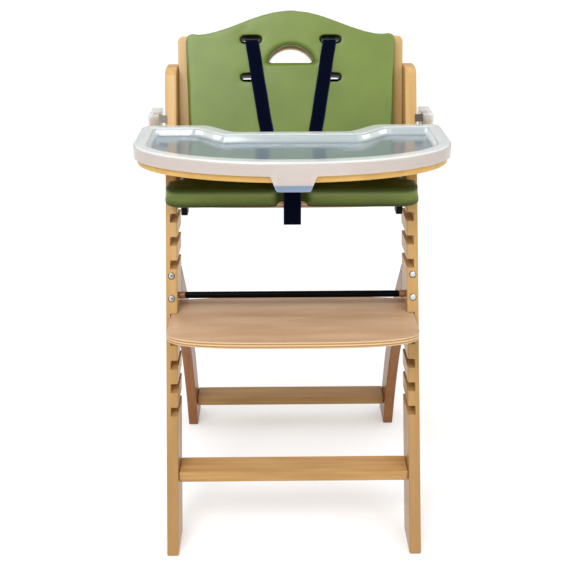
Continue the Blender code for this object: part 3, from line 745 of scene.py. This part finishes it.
@dataclass
class Cushion:
    """A padded piece: the CAD shape, remeshed, blown up by cloth pressure and drawn in at its edges."""

    finishes: Finishes
    node: str
    body: str
    voxel: float = 0.0042
    shrink: float = 0.0010
    pressure: float = 4.0
    cap: float = 0.0030
    frames: int = 20
    easing: int = 4

    def build(self) -> bpy.types.Object:
        """Make the cushion and put it in place of its CAD node."""
        mesh = self.filled(self.start())
        piece = bpy.data.objects.new(f"{self.node} working", mesh)
        bpy.context.scene.collection.objects.link(piece)
        ease = piece.modifiers.new("ease", "SMOOTH")
        ease.factor, ease.iterations = 0.5, self.easing
        finer = piece.modifiers.new("finer", "SUBSURF")
        finer.levels = finer.render_levels = 1
        mesh = applied(piece)
        bpy.data.objects.remove(piece)
        points = self.fitted(coordinates(mesh))
        points, painted_shade = self.drawn_in(points)
        put_coordinates(mesh, points)
        # Painted shade per point, which the leather mixes to its shade colour.
        layer = mesh.attributes.new("painted_shade", "FLOAT", "POINT")
        layer.data.foreach_set("value", painted_shade.astype(np.float32))
        cushion = add_piece(f"{self.node}_padded", mesh, self.finishes.leather)
        placed(cushion, self.body, self.node)
        LOG.info("%s: %d faces", cushion.name, len(mesh.polygons))
        return cushion

    def fitted(self, points: np.ndarray) -> np.ndarray:
        """Stretch the points so that they fill the CAD shape's box across and up again."""
        low, high = (np.array(corner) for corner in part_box(self.node))
        old_low, old_high = points.min(0), points.max(0)
        stretched = low + (points - old_low) * (high - low) / (old_high - old_low)
        stretched[:, 1] = points[:, 1]
        return stretched

    def start(self) -> bpy.types.Object:
        """The CAD shape on an even grid of quads, a little smaller all round."""
        piece = bpy.data.objects.new(f"{self.node} start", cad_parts[self.node].data.copy())
        bpy.context.scene.collection.objects.link(piece)
        grid = piece.modifiers.new("grid", "REMESH")
        grid.mode, grid.voxel_size = "VOXEL", self.voxel
        ease = piece.modifiers.new("ease", "SMOOTH")
        ease.factor, ease.iterations = 0.5, 3
        piece.data = applied(piece)
        mesh = piece.data
        normals = np.empty(len(mesh.vertices) * 3)
        mesh.vertices.foreach_get("normal", normals)
        put_coordinates(mesh, coordinates(mesh) - self.shrink * normals.reshape(-1, 3))
        return piece

    def filled(self, piece: bpy.types.Object) -> bpy.types.Mesh:
        """Blow the piece up by cloth pressure, then hold each point within the cap."""
        before = coordinates(piece.data)
        moved = before
        cloth = piece.modifiers.new("filling", "CLOTH")
        cloth.settings.use_pressure = True
        cloth.settings.uniform_pressure_force = self.pressure
        cloth.settings.effector_weights.gravity = 0
        cloth.settings.quality = 4
        cloth.point_cache.frame_start, cloth.point_cache.frame_end = 1, self.frames
        for number in range(1, self.frames + 1):
            bpy.context.scene.frame_set(number)
        graph = bpy.context.evaluated_depsgraph_get()
        moved = coordinates(piece.evaluated_get(graph).data)
        piece.modifiers.clear()
        bpy.context.scene.frame_set(1)
        step = moved - before
        length = np.maximum(np.linalg.norm(step, axis=1), 1e-9)
        step *= np.minimum(1, self.cap / length)[:, None]
        mesh = piece.data.copy()
        put_coordinates(mesh, before + step * self.freedom(before)[:, None])
        bpy.data.objects.remove(piece)
        return mesh

    def freedom(self, points: np.ndarray) -> np.ndarray:
        """How freely each point may swell, from 0 to 1."""
        return np.ones(len(points))

    def drawn_in(self, points: np.ndarray) -> tuple[np.ndarray, np.ndarray]:
        """The points after the skin is drawn in, and the painted shade of each."""
        return points, np.zeros(len(points))


@dataclass
class BackCushion(Cushion):
    """The back's padding: nearly flat in front, rolled in round the hand hole and the harness slots."""

    node: str = "back_cushion"
    body: str = "chair_frame"
    voxel: float = 0.0036
    thickness: float = 0.0264
    hole_half: float = 0.0420
    hole_bottom: float = 0.1000
    hole_rise: float = 0.0285
    slot_half: tuple[float, float] = (0.0185, 0.0058)

    def hand_hole(self) -> np.ndarray:
        """The hand hole's outline: a flat bottom under a round arc."""
        radius = (self.hole_half ** 2 + self.hole_rise ** 2) / (2 * self.hole_rise)
        reach = math.asin(self.hole_half / radius)
        angle = np.linspace(-reach, reach, 40)
        top = self.hole_bottom + self.hole_rise - radius
        return np.stack([radius * np.sin(angle), top + radius * np.cos(angle)], -1)

    def opened(self, flat: np.ndarray, middle: np.ndarray) -> np.ndarray:
        """Push points out of a harness slot.

        Args:
            flat: (n, 2) points.
            middle: of the slot.

        Returns:
            The points. One nearer to the slot's centre line than half its height moves straight out to
            that distance.
        """
        half, tall = self.slot_half
        offset = flat - middle
        nearest = np.stack([np.clip(offset[:, 0], tall - half, half - tall), np.zeros(len(flat))], -1)
        away = offset - nearest
        length = np.maximum(np.linalg.norm(away, axis=1, keepdims=True), 1e-6)
        return middle + nearest + away * np.maximum(1, tall / length)

    def freedom(self, points: np.ndarray) -> np.ndarray:
        """Only the front swells, the back lies on its panel."""
        return smooth(to_back(points)[:, 2], 0.004, 0.014)

    def drawn_in(self, points: np.ndarray) -> tuple[np.ndarray, np.ndarray]:
        """Roll the skin in at the holes.

        Args:
            points: (n, 3) in the frame.

        Returns:
            The moved points and their painted shade, darkest at the hand hole's and slots' lips and on the
            cushion's sides. A front point sinks by depth * (1 - smoothstep(distance)) near an outline, and
            no point goes behind the panel's face.
        """
        flat = to_back(points)
        front = smooth(flat[:, 2], 0.010, 0.020)
        crown = self.thickness + 0.0016 * (1 - (flat[:, 0] / 0.190) ** 2)
        calm = 0.8 * smooth(flat[:, 2], self.thickness - 0.0040, self.thickness - 0.0015)
        flat[:, 2] += calm * (crown - flat[:, 2])
        near_hole = distance_to(flat[:, :2], self.hand_hole())
        sink = 0.0055 * (1 - smooth(near_hole, 0.0, 0.0090))
        # Painted shade at the hand hole's lip.
        painted_shade = 0.55 * (1 - smooth(near_hole, 0.0005, 0.0050))
        for up in SLOT_ROWS.values():
            for sign in SIDES.values():
                near = distance_to(flat[:, :2], pill(*self.slot_half) + (sign * SLOT_X, up))
                sink = np.maximum(sink, 0.0016 * (1 - smooth(near, 0.0, 0.0035)))
                # Painted shade at the slots' lips.
                painted_shade = np.maximum(painted_shade, 0.5 * (1 - smooth(near, 0.0, 0.0014)))
            for sign in SIDES.values():
                flat[:, :2] = self.opened(flat[:, :2], np.array([sign * SLOT_X, up]))
        # Painted shade on the cushion's sides, towards the panel.
        side = 1 - smooth(flat[:, 2], 0.002, 0.0175)
        flat[:, 2] = np.maximum(flat[:, 2] - sink * front, 0.0004)
        return to_world(Plane.BACK, flat), np.maximum(painted_shade, 0.75 * side)


@dataclass
class SeatCushion(Cushion):
    """The seat's padding: a fat rolled front lip in two lobes, with the crotch strap's notch between."""

    node: str = "seat_cushion"
    body: str = "seat"
    cap: float = 0.0040
    plate_top: float = 0.5923
    wide: float = 0.2210
    narrow: float = 0.1975
    front: float = 0.1940
    lip_back: float = 0.2560
    back: float = 0.388
    notch: float = 0.0250
    notch_back: float = 0.2010
    corner: float = 0.024
    middle: float = 0.6030
    roll: float = 0.020

    def plan(self) -> np.ndarray:
        """The cushion's plan as (x, depth), its front corners round."""
        turn = np.linspace(0, math.pi / 2, 12)
        arc = np.stack([self.wide - self.corner * (1 - np.sin(turn)),
                        self.front + self.corner * (1 - np.cos(turn))], -1)
        half = np.vstack([[(self.notch, self.notch_back), (self.notch, self.front)], arc,
                          [(self.wide, self.lip_back), (self.narrow, self.lip_back + 0.004),
                           (self.narrow, self.back)]])
        return np.vstack([half, half[::-1] * (-1, 1)])

    def freedom(self, points: np.ndarray) -> np.ndarray:
        """The underside lies on the plate."""
        return smooth(points[:, 2], self.plate_top + 0.001, self.plate_top + 0.009)

    def drawn_in(self, points: np.ndarray) -> tuple[np.ndarray, np.ndarray]:
        """Roll the edges and paint shade on the underside, in the notch and on the top under the tray.

        Args:
            points: (n, 3) in the frame.

        Returns:
            The points and their painted shade. Within the roll's reach of the plan, the top falls to the
            middle height along a quarter ellipse: (top - middle) * sqrt(1 - (1 - distance / roll)^2).
        """
        depth = points[:, 1] + ORIGIN_DEPTH
        inside = np.clip(distance_to(np.stack([points[:, 0], depth], -1), self.plan()) / self.roll, 0, 1)
        high = points[:, 2].max()
        ceiling = self.middle + (high - self.middle) * np.sqrt(1 - (1 - inside) ** 2)
        points[:, 2] = np.minimum(points[:, 2], ceiling)
        # Painted shade: on the underside, in the crotch strap's notch, and on the top that lies in the
        # tray's shadow.
        under = 1 - smooth(points[:, 2], 0.5845, 0.5985)
        notch = (1 - smooth(np.abs(points[:, 0]), 0.024, 0.040)) * (1 - smooth(depth, 0.205, 0.225))
        tray_shadow = smooth(points[:, 2], 0.6030, 0.6115)
        return points, np.maximum.reduce([0.8 * under, 0.7 * notch, 0.80 * tray_shadow])


@dataclass
class SlotLiner:
    """The black moulded liner of a harness slot, its rim rolled over the cushion's skin."""

    node: str
    sign: int
    up: float
    finishes: Finishes
    half: tuple[float, float] = (0.0170, 0.00425)
    low: float = -0.012
    high: float = 0.0287
    rim: float = 0.0014

    def build(self) -> bpy.types.Object:
        """Make the liner.

        Returns:
            The piece. Its section, in (offset outwards, out), is a tube wall whose front end swells into
            a half-round rim, carried round the slot's pill outline.
        """
        outline = pill(*self.half, steps=18)
        angle = np.linspace(0, math.pi, 9)
        rim = np.stack([0.0008 + self.rim * np.cos(angle) * 0.5,
                        self.high - 0.0010 + self.rim * np.sin(angle) * 0.6], -1)
        section = np.vstack([[(0.0013, self.low), (0.0013, self.high - 0.0025)], rim,
                             [(-0.0001, self.high - 0.0025), (-0.0001, self.low)]])
        flat = outline - section[:, None, 0:1] * inwards(outline)
        flat = flat + (self.sign * SLOT_X, self.up)
        rings = to_world(Plane.BACK, with_height(flat, section[:, None, 1:2]))
        piece = add_piece(f"{self.node}_rim", ring_mesh(self.node, rings, wrap=True), self.finishes.plastic)
        return placed(piece, "chair_frame", self.node)


@dataclass
class Strap:
    """Flat webbing along a path, with a rounded edge and its weave on a UV map in metres."""

    node: str
    path: np.ndarray
    width: float
    across: Point
    material: bpy.types.Material
    body: str = "chair_frame"
    bends_to: tuple[Point, Point] | None = None
    thickness: float = 0.0017
    steps: int = 140

    def build(self) -> bpy.types.Object:
        """Make the strap.

        Returns:
            The piece. Each ring is a flat superellipse: the width times sign(cos)|cos|^(1/4) across, and
            half the thickness times sign(sin)|sin|^(1/2) out of the strap's plane.
        """
        line = eased(self.path, self.steps)
        run = np.gradient(line, axis=0)
        run /= np.linalg.norm(run, axis=1)[:, None]
        across = np.array(self.across) - run * (run @ np.array(self.across))[:, None]
        across /= np.linalg.norm(across, axis=1)[:, None]
        lift = np.cross(across, run)
        angle = np.linspace(0, 2 * math.pi, 28, endpoint=False)
        a = np.sign(np.cos(angle)) * np.abs(np.cos(angle)) ** 0.25 * self.width / 2
        b = np.sign(np.sin(angle)) * np.abs(np.sin(angle)) ** 0.5 * self.thickness / 2
        rings = line[:, None] + a[None, :, None] * across[:, None] + b[None, :, None] * lift[:, None]
        length = np.concatenate([[0], np.cumsum(np.linalg.norm(np.diff(line, axis=0), axis=1))])
        uv = np.stack(np.broadcast_arrays(a[None], length[:, None]), -1)
        rings[..., 1] -= ORIGIN_DEPTH
        piece = add_piece(f"{self.node}_woven", ring_mesh(self.node, rings, uv=uv), self.material)
        if self.bends_to:
            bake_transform(piece)
        else:
            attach(piece, self.body)
        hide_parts(self.node)
        LOG.info("%s: %.3f m long", piece.name, length[-1])
        return piece


@dataclass
class Harness:
    """The five straps of the harness."""

    finishes: Finishes
    face: float = 0.0304
    slot_up: float = 0.1400
    buckle_at: tuple[float, float] = (0.240, 0.640)
    buckle_tilt: float = math.radians(50)

    def on_back(self, x: float, up: float, out: float) -> Point:
        """(x, depth, height) of a point of the back."""
        world = to_world(Plane.BACK, np.array([x, up, out]))
        return (world[0], world[1] + ORIGIN_DEPTH, world[2])

    def on_buckle(self, x: float, up: float, out: float) -> Point:
        """(x, depth, height) of a point of the tilted buckle."""
        sin, cos = math.sin(self.buckle_tilt), math.cos(self.buckle_tilt)
        return (x, self.buckle_at[0] + up * sin - out * cos, self.buckle_at[1] + up * cos + out * sin)

    def build(self) -> None:
        """Make the shoulder, waist and crotch straps."""
        for side, sign in SIDES.items():
            self.shoulder(side, sign)
            self.waist(side, sign)
        crotch = [self.on_buckle(0, -0.0185, -0.001), (0, 0.216, 0.6300), (0, 0.203, 0.6235),
                  (0, 0.1955, 0.6160), (0, 0.1930, 0.6050), (0, 0.1922, 0.5900), (0, 0.1922, 0.5530)]
        Strap("crotch_strap", np.array(crotch), 0.030, ACROSS, self.finishes.wide_webbing,
              body="seat").build()

    def shoulder(self, side: str, sign: int) -> None:
        """One shoulder strap: out of its slot, over the liner's rim and down the cushion to the buckle.

        Args:
            side: left or right.
            sign: of the side's x.
        """
        path = [self.on_back(sign * 0.0695, self.slot_up - 0.0005, -0.008),
                self.on_back(sign * 0.0695, self.slot_up - 0.0005, self.face - 0.008),
                self.on_back(sign * 0.0693, self.slot_up - 0.0025, self.face - 0.001),
                self.on_back(sign * 0.0685, self.slot_up - 0.0090, self.face)]
        path += [self.on_back(sign * x, up, self.face - 0.0008) for x, up in (
            (0.0640, 0.105), (0.060, 0.075), (0.054, 0.040), (0.048, 0.000), (0.044, -0.020))]
        path += [(sign * 0.040, 0.283, 0.664), self.on_buckle(sign * 0.0385, 0.0185, 0.001)]
        start, end = (0.0, 0.2850, 0.6650), self.on_buckle(0, 0.0185, 0)
        Strap(f"{side}_shoulder_strap", np.array(path), 0.024, ACROSS, self.finishes.webbing,
              bends_to=tuple((x, y - ORIGIN_DEPTH, z) for x, y, z in (start, end))).build()

    def waist(self, side: str, sign: int) -> None:
        """One waist strap, on edge from the cushion's face to the buckle.

        Args:
            side: left or right.
            sign: of the side's x.
        """
        start = self.on_back(sign * 0.130, -0.052, self.face)
        end = self.on_buckle(sign * 0.030, -0.007, 0)
        path = [start, self.on_back(sign * 0.115, -0.050, self.face + 0.010), (sign * 0.075, 0.268, 0.642),
                end]
        Strap(f"{side}_waist_strap", np.array(path), 0.022, BACK_UP, self.finishes.webbing, steps=60,
              bends_to=tuple((x, y - ORIGIN_DEPTH, z) for x, y, z in (start, end))).build()


@dataclass
class Footrest:
    """The footrest: moulded plywood with a full bowed front."""

    finishes: Finishes
    half: float = 0.216
    front: float = 0.0620
    back: float = 0.2545
    bow: float = 0.052
    low: float = 0.3786
    thickness: float = 0.0128
    rim: float = 0.0017

    def outline(self) -> np.ndarray:
        """Plan of the footrest.

        Returns:
            (n, 2) points: a superellipse front, cos and sin to the power 0.62, small round rear corners
            and a bowed back.
        """
        angle = np.linspace(0, math.pi, 120)
        x = np.sign(np.cos(angle)) * np.abs(np.cos(angle)) ** 0.62 * self.half
        front = np.stack([x, self.front + self.bow - self.bow * np.sin(angle) ** 0.62], -1)
        corner = 0.016
        turn = np.linspace(0, math.pi / 2, 10)
        rear = self.back - 0.0125
        left = np.stack([-self.half + corner * (1 - np.cos(turn)), rear - corner * (1 - np.sin(turn))], -1)
        across = np.linspace(-(self.half - corner), self.half - corner, 41)[1:-1]
        bowed = np.stack([across, rear + 0.0125 * (1 - (across / (self.half - corner)) ** 2)], -1)
        return np.vstack([front, left, bowed, left[::-1] * (-1, 1)])

    def build(self) -> bpy.types.Object:
        """Make the footrest."""
        outline = evenly(np.vstack([self.outline(), self.outline()[:1]]), 361)[:-1]
        rings = slab_rings(outline, self.low, self.low + self.thickness, self.rim)
        piece = add_piece("footrest_board", ring_mesh("footrest_board", rings), self.finishes.footrest)
        LOG.info("footrest board")
        return placed(piece, "footrest", "footrest_plate")


@dataclass
class Tray:
    """The tray: its wooden board and the clear cover over it."""

    finishes: Finishes
    half: float = 0.2640
    centre: float = 0.190
    bow: float = 0.133
    rear: float = 0.3125
    scoop: float = 0.051
    top: float = 0.700
    board: tuple[float, float] = (0.6656, 0.6836)
    board_inset: float = 0.0055
    board_rear: float = 0.298
    board_rim: float = 0.0035
    skin: float = 0.0022
    apron: float = 0.6775
    tab_bottom: float = 0.653
    tab_half: float = 0.0250
    tab_shoulder: float = 0.0130

    def plan(self, inset: float, rear: float) -> np.ndarray:
        """Plan of the tray, moved inwards.

        Args:
            inset: how far.
            rear: depth of the rear edge beside the scoop.

        Returns:
            (n, 2) points, the same count for every inset: a half ellipse in front, straight sides, round
            rear corners and a raised-cosine scoop for the child.
        """
        half, corner = self.half - inset, max(0.018 - 0.6 * inset, 0.004)
        angle = np.radians(np.concatenate([np.linspace(0, 76, 60), np.linspace(76, 104, 85)[1:-1],
                                           np.linspace(104, 180, 60)]))
        front = np.stack([half * np.cos(angle), self.centre - (self.bow - inset) * np.sin(angle)], -1)
        turn = np.linspace(0, math.pi / 2, 12)
        rounded = np.stack([-half + corner * (1 - np.cos(turn)), rear - corner * (1 - np.sin(turn))], -1)
        edge, run = 0.158 + 0.8 * inset, 0.068
        t = np.linspace(0, 1, 30)
        scoop = np.stack([-edge + run * t, rear - self.scoop * (1 - np.cos(math.pi * t)) / 2], -1)
        straight = np.stack([np.full(14, -half), np.linspace(self.centre, rear - corner, 16)[1:-1]], -1)
        rear_edge = np.stack([np.linspace(-half + corner, -edge, 10)[1:-1], np.full(8, rear)], -1)
        middle = [(-0.045, rear - self.scoop), (-0.02, rear - self.scoop)]
        left = np.vstack([straight, rounded, rear_edge, scoop, middle])
        return np.vstack([front, left, left[::-1] * (-1, 1)])

    def ring(self, inset: float, height: np.ndarray | float) -> np.ndarray:
        """One ring of the cover in (x, depth, height)."""
        return with_height(self.plan(inset, self.rear - inset), np.reshape(height, (-1, 1)))

    def lower_edge(self, plan: np.ndarray) -> np.ndarray:
        """Height of the cover's lower edge: a level apron, a finger tab in front and a short lip behind."""
        x, depth = np.abs(plan[:, 0]), plan[:, 1]
        tab = 1 - smooth(x, self.tab_half, self.tab_half + self.tab_shoulder)
        front = self.apron + (self.tab_bottom - self.apron) * tab
        behind = smooth(depth, self.rear - 0.034, self.rear - 0.022)
        inner = (depth > self.centre) & (x < self.half - 0.004)
        rear = np.where(inner, 1.0, behind)
        return front + (self.top - 0.0050 - front) * rear

    def build(self) -> None:
        """Make the board and the cover."""
        plan = self.plan(self.board_inset, self.board_rear)
        board = ring_mesh("tray_board", slab_rings(plan, *self.board, self.board_rim))
        placed(add_piece("tray_board_round", board, self.finishes.tray), "tray", "tray_board")
        cover = ring_mesh("tray_cover", self.cover_rings())
        placed(add_piece("tray_cover_shell", cover, self.finishes.cover),
               "tray_cover", "tray_cover")
        LOG.info("tray board and cover")

    def cover_rings(self) -> np.ndarray:
        """Rings of the cover's closed shell, from the middle of its underside out and back over its top.

        Returns:
            (rings, points, 3). Heights come from the plan: the rim is a flat top with round edges, and the
            apron's foot turns out a little at the finger tab.
        """
        skin, top, floor = self.skin, self.top, self.board[1] + 0.0008
        outer = self.plan(0, self.rear)
        foot = self.lower_edge(outer)
        tab = (self.apron - foot).clip(0, None) / (self.apron - self.tab_bottom)
        under = [(0.0330, floor), (0.0300, floor + 0.0008), (0.0240, top - skin - 0.0010),
                 (0.0210, top - skin), (0.0045, top - skin), (skin + 0.0004, top - skin - 0.0012),
                 (skin, top - 0.0045), (skin, foot + 0.0003), (skin * 0.5, foot)]
        rings = [self.ring(inset, level) for inset, level in under]
        for level in (foot + 0.0004, np.minimum(foot + 0.0062, top - 0.0048)):
            lip = self.ring(0.0, level)
            lip[:, 1] -= 0.0010 * smooth(tab, 0.6, 1.0)
            rings.append(lip)
        turns = np.linspace(0, math.pi / 2, 7)
        edge, mouth, foot_of_wall = 0.0042, 0.0028, floor + skin + 0.0030
        over = [(0.0, np.minimum(foot + 0.0076, top - 0.0045))]
        over += [(edge * (1 - math.cos(turn)), top - edge * (1 - math.sin(turn))) for turn in turns]
        over += [(inset, top) for inset in (0.0080, 0.0120, 0.0160)]
        over += [(0.0205 + mouth * math.sin(turn), top - mouth * (1 - math.cos(turn))) for turn in turns[1:]]
        over += [(0.0270, floor + skin + 0.0040)]
        over += [(0.0280 + 0.0040 * (1 - math.cos(turn)), foot_of_wall - 0.0030 * math.sin(turn))
                 for turn in turns]
        rings += [self.ring(inset, level) for inset, level in over]
        return to_world(Plane.LEVEL, np.array(rings))


@dataclass
class Crossbar:
    """The black steel bar between the legs, with its brown end collars."""

    finishes: Finishes
    depth: float = 0.209
    height: float = 0.4145
    radius: float = 0.006
    end: float = 0.1922
    collar: tuple[float, float] = (0.1926, 0.2041)
    collar_radius: float = 0.0063

    def lathe(self, profile: list[tuple[float, float]], sides: int = 64) -> np.ndarray:
        """Rings of a turned shape from (x, radius) pairs: each is a circle about the bar's line."""
        angle = np.linspace(0, 2 * math.pi, sides, endpoint=False)
        x, radius = np.array(profile).T
        circle = np.stack([np.zeros(sides), np.cos(angle), np.sin(angle)], -1)
        centre = to_world(Plane.LEVEL, with_height(
            np.stack([x, np.full_like(x, self.depth)], -1), self.height))
        return centre[:, None] + radius[:, None, None] * circle

    def turned(self, name: str, node: str, slot: str, ends: tuple[float, float], radius: float,
               edge: float, material: bpy.types.Material) -> None:
        """Make a round piece about the bar's line.

        Args:
            name: of the piece.
            node: that it replaces.
            slot: of the record's materials; not used.
            ends: x of its two ends.
            radius: of the piece.
            edge: size of the bevel at both ends.
            material: its finish.
        """
        start, stop = ends
        inset = math.copysign(edge, stop - start)
        rings = self.lathe([(start, radius - edge), (start + inset, radius),
                            (stop - inset, radius), (stop, radius - edge)])
        mesh = ring_mesh(name.removesuffix("_round"), rings)
        placed(add_piece(name, mesh, material), "chair_frame", node)

    def build(self) -> None:
        """Make the bar and its collars."""
        self.turned("crossbar_round", "crossbar", "black_metal", (-self.end, self.end), self.radius,
                    0.0008, self.finishes.bar)
        for side, sign in SIDES.items():
            start, stop = self.collar
            self.turned(f"{side}_collar_round", f"{side}_crossbar_collar", "brown_plastic",
                        (sign * start, sign * stop), self.collar_radius, 0.0007, self.finishes.collar)
        LOG.info("crossbar and collars")


@dataclass
class Studio:
    """A pale floor, soft light mostly from above and the camera."""

    key: float = 25.0
    fill: float = 7.0
    card: float = 3.5
    zenith: float = 1.45
    horizon: float = 0.20
    reach: float = 40.0
    glow: float = 0.36

    def light(self, name: str, at: Point, size: float, power: float) -> None:
        """A square soft light aimed at the chair's back and tray.

        Args:
            name: of the light.
            at: where it stands.
            size: of its side.
            power: in watts.
        """
        data = bpy.data.lights.new(name, "AREA")
        data.energy, data.size = power, size
        lamp = bpy.data.objects.new(name, data)
        lamp.location = at
        lamp.rotation_euler = (Vector((0, 0, 0.72)) - Vector(at)).to_track_quat("-Z", "Y").to_euler()
        bpy.context.scene.collection.objects.link(lamp)

    def sky(self) -> None:
        """A white sky, brightest overhead, so that undersides and deep places fall dark."""
        world = bpy.data.worlds.new("white studio")
        bpy.context.scene.world = world
        world.use_nodes = True
        tree = world.node_tree
        direction = add_node(tree, "ShaderNodeTexCoord").outputs["Generated"]
        rise = add_node(tree, "ShaderNodeSeparateXYZ", {0: direction}).outputs["Z"]
        ramp = add_node(tree, "ShaderNodeMapRange", {
            "Value": rise, "To Min": self.horizon, "To Max": self.zenith})
        fill(tree.nodes["Background"], {"Color": linear("#FFFFFF"), "Strength": ramp.outputs[0]})

    def floor(self) -> None:
        """A white backdrop, lit from within so that it stays white to the horizon."""
        mesh = bpy.data.meshes.new("floor")
        edge = self.reach
        mesh.from_pydata([(-edge, -edge, 0), (edge, -edge, 0), (edge, edge, 0), (-edge, edge, 0)],
                         [], [(0, 1, 2, 3)])
        mesh.materials.append(Shader("backlit acrylic floor, white").finished({
            "Base Color": linear("#D2D2D2"), "Roughness": 0.9, "Specular IOR Level": 0.0,
            "Emission Color": linear("#FFFFFF"), "Emission Strength": self.glow}))
        floor = bpy.data.objects.new("floor", mesh)
        bpy.context.scene.collection.objects.link(floor)

    def build(self) -> None:
        """Set the stage."""
        self.sky()
        self.floor()
        self.light("key", (-0.7, -1.5, 2.1), 1.0, self.key)
        self.light("fill", (1.3, -1.2, 1.7), 1.2, self.fill)
        self.light("low card", (0.4, -2.2, 0.5), 1.2, self.card)
        bpy.context.scene.view_settings.view_transform = "Standard"
        self.camera()

    def camera(self) -> None:
        """A camera in front of the chair and above it, looking down at it."""
        data = bpy.data.cameras.new("camera")
        data.sensor_width, data.lens = 36.0, 57.36
        camera = bpy.data.objects.new("camera", data)
        turn = (Matrix.Rotation(math.radians(-0.5), 4, "Z") @ Matrix.Rotation(math.radians(66.82), 4, "X")
                @ Matrix.Rotation(math.radians(-0.2), 4, "Z"))
        camera.matrix_world = Matrix.Translation((-0.0235, -1.55645, 1.075)) @ turn
        bpy.context.scene.collection.objects.link(camera)
        bpy.context.scene.camera = camera


def main() -> None:
    """Dress the frame and set the stage."""
    logging.basicConfig(level=logging.INFO, format="%(message)s")
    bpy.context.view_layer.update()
    finishes = Finishes()
    Woodwork(finishes).dress()
    BackCushion(finishes=finishes).build()
    SeatCushion(finishes=finishes).build()
    for side, sign in SIDES.items():
        for row, up in SLOT_ROWS.items():
            SlotLiner(f"{side}_{row}_slot_liner", sign, up, finishes).build()
    Harness(finishes).build()
    Footrest(finishes).build()
    Crossbar(finishes).build()
    Tray(finishes).build()
    Studio().build()


if __name__ == "__main__":
    main()
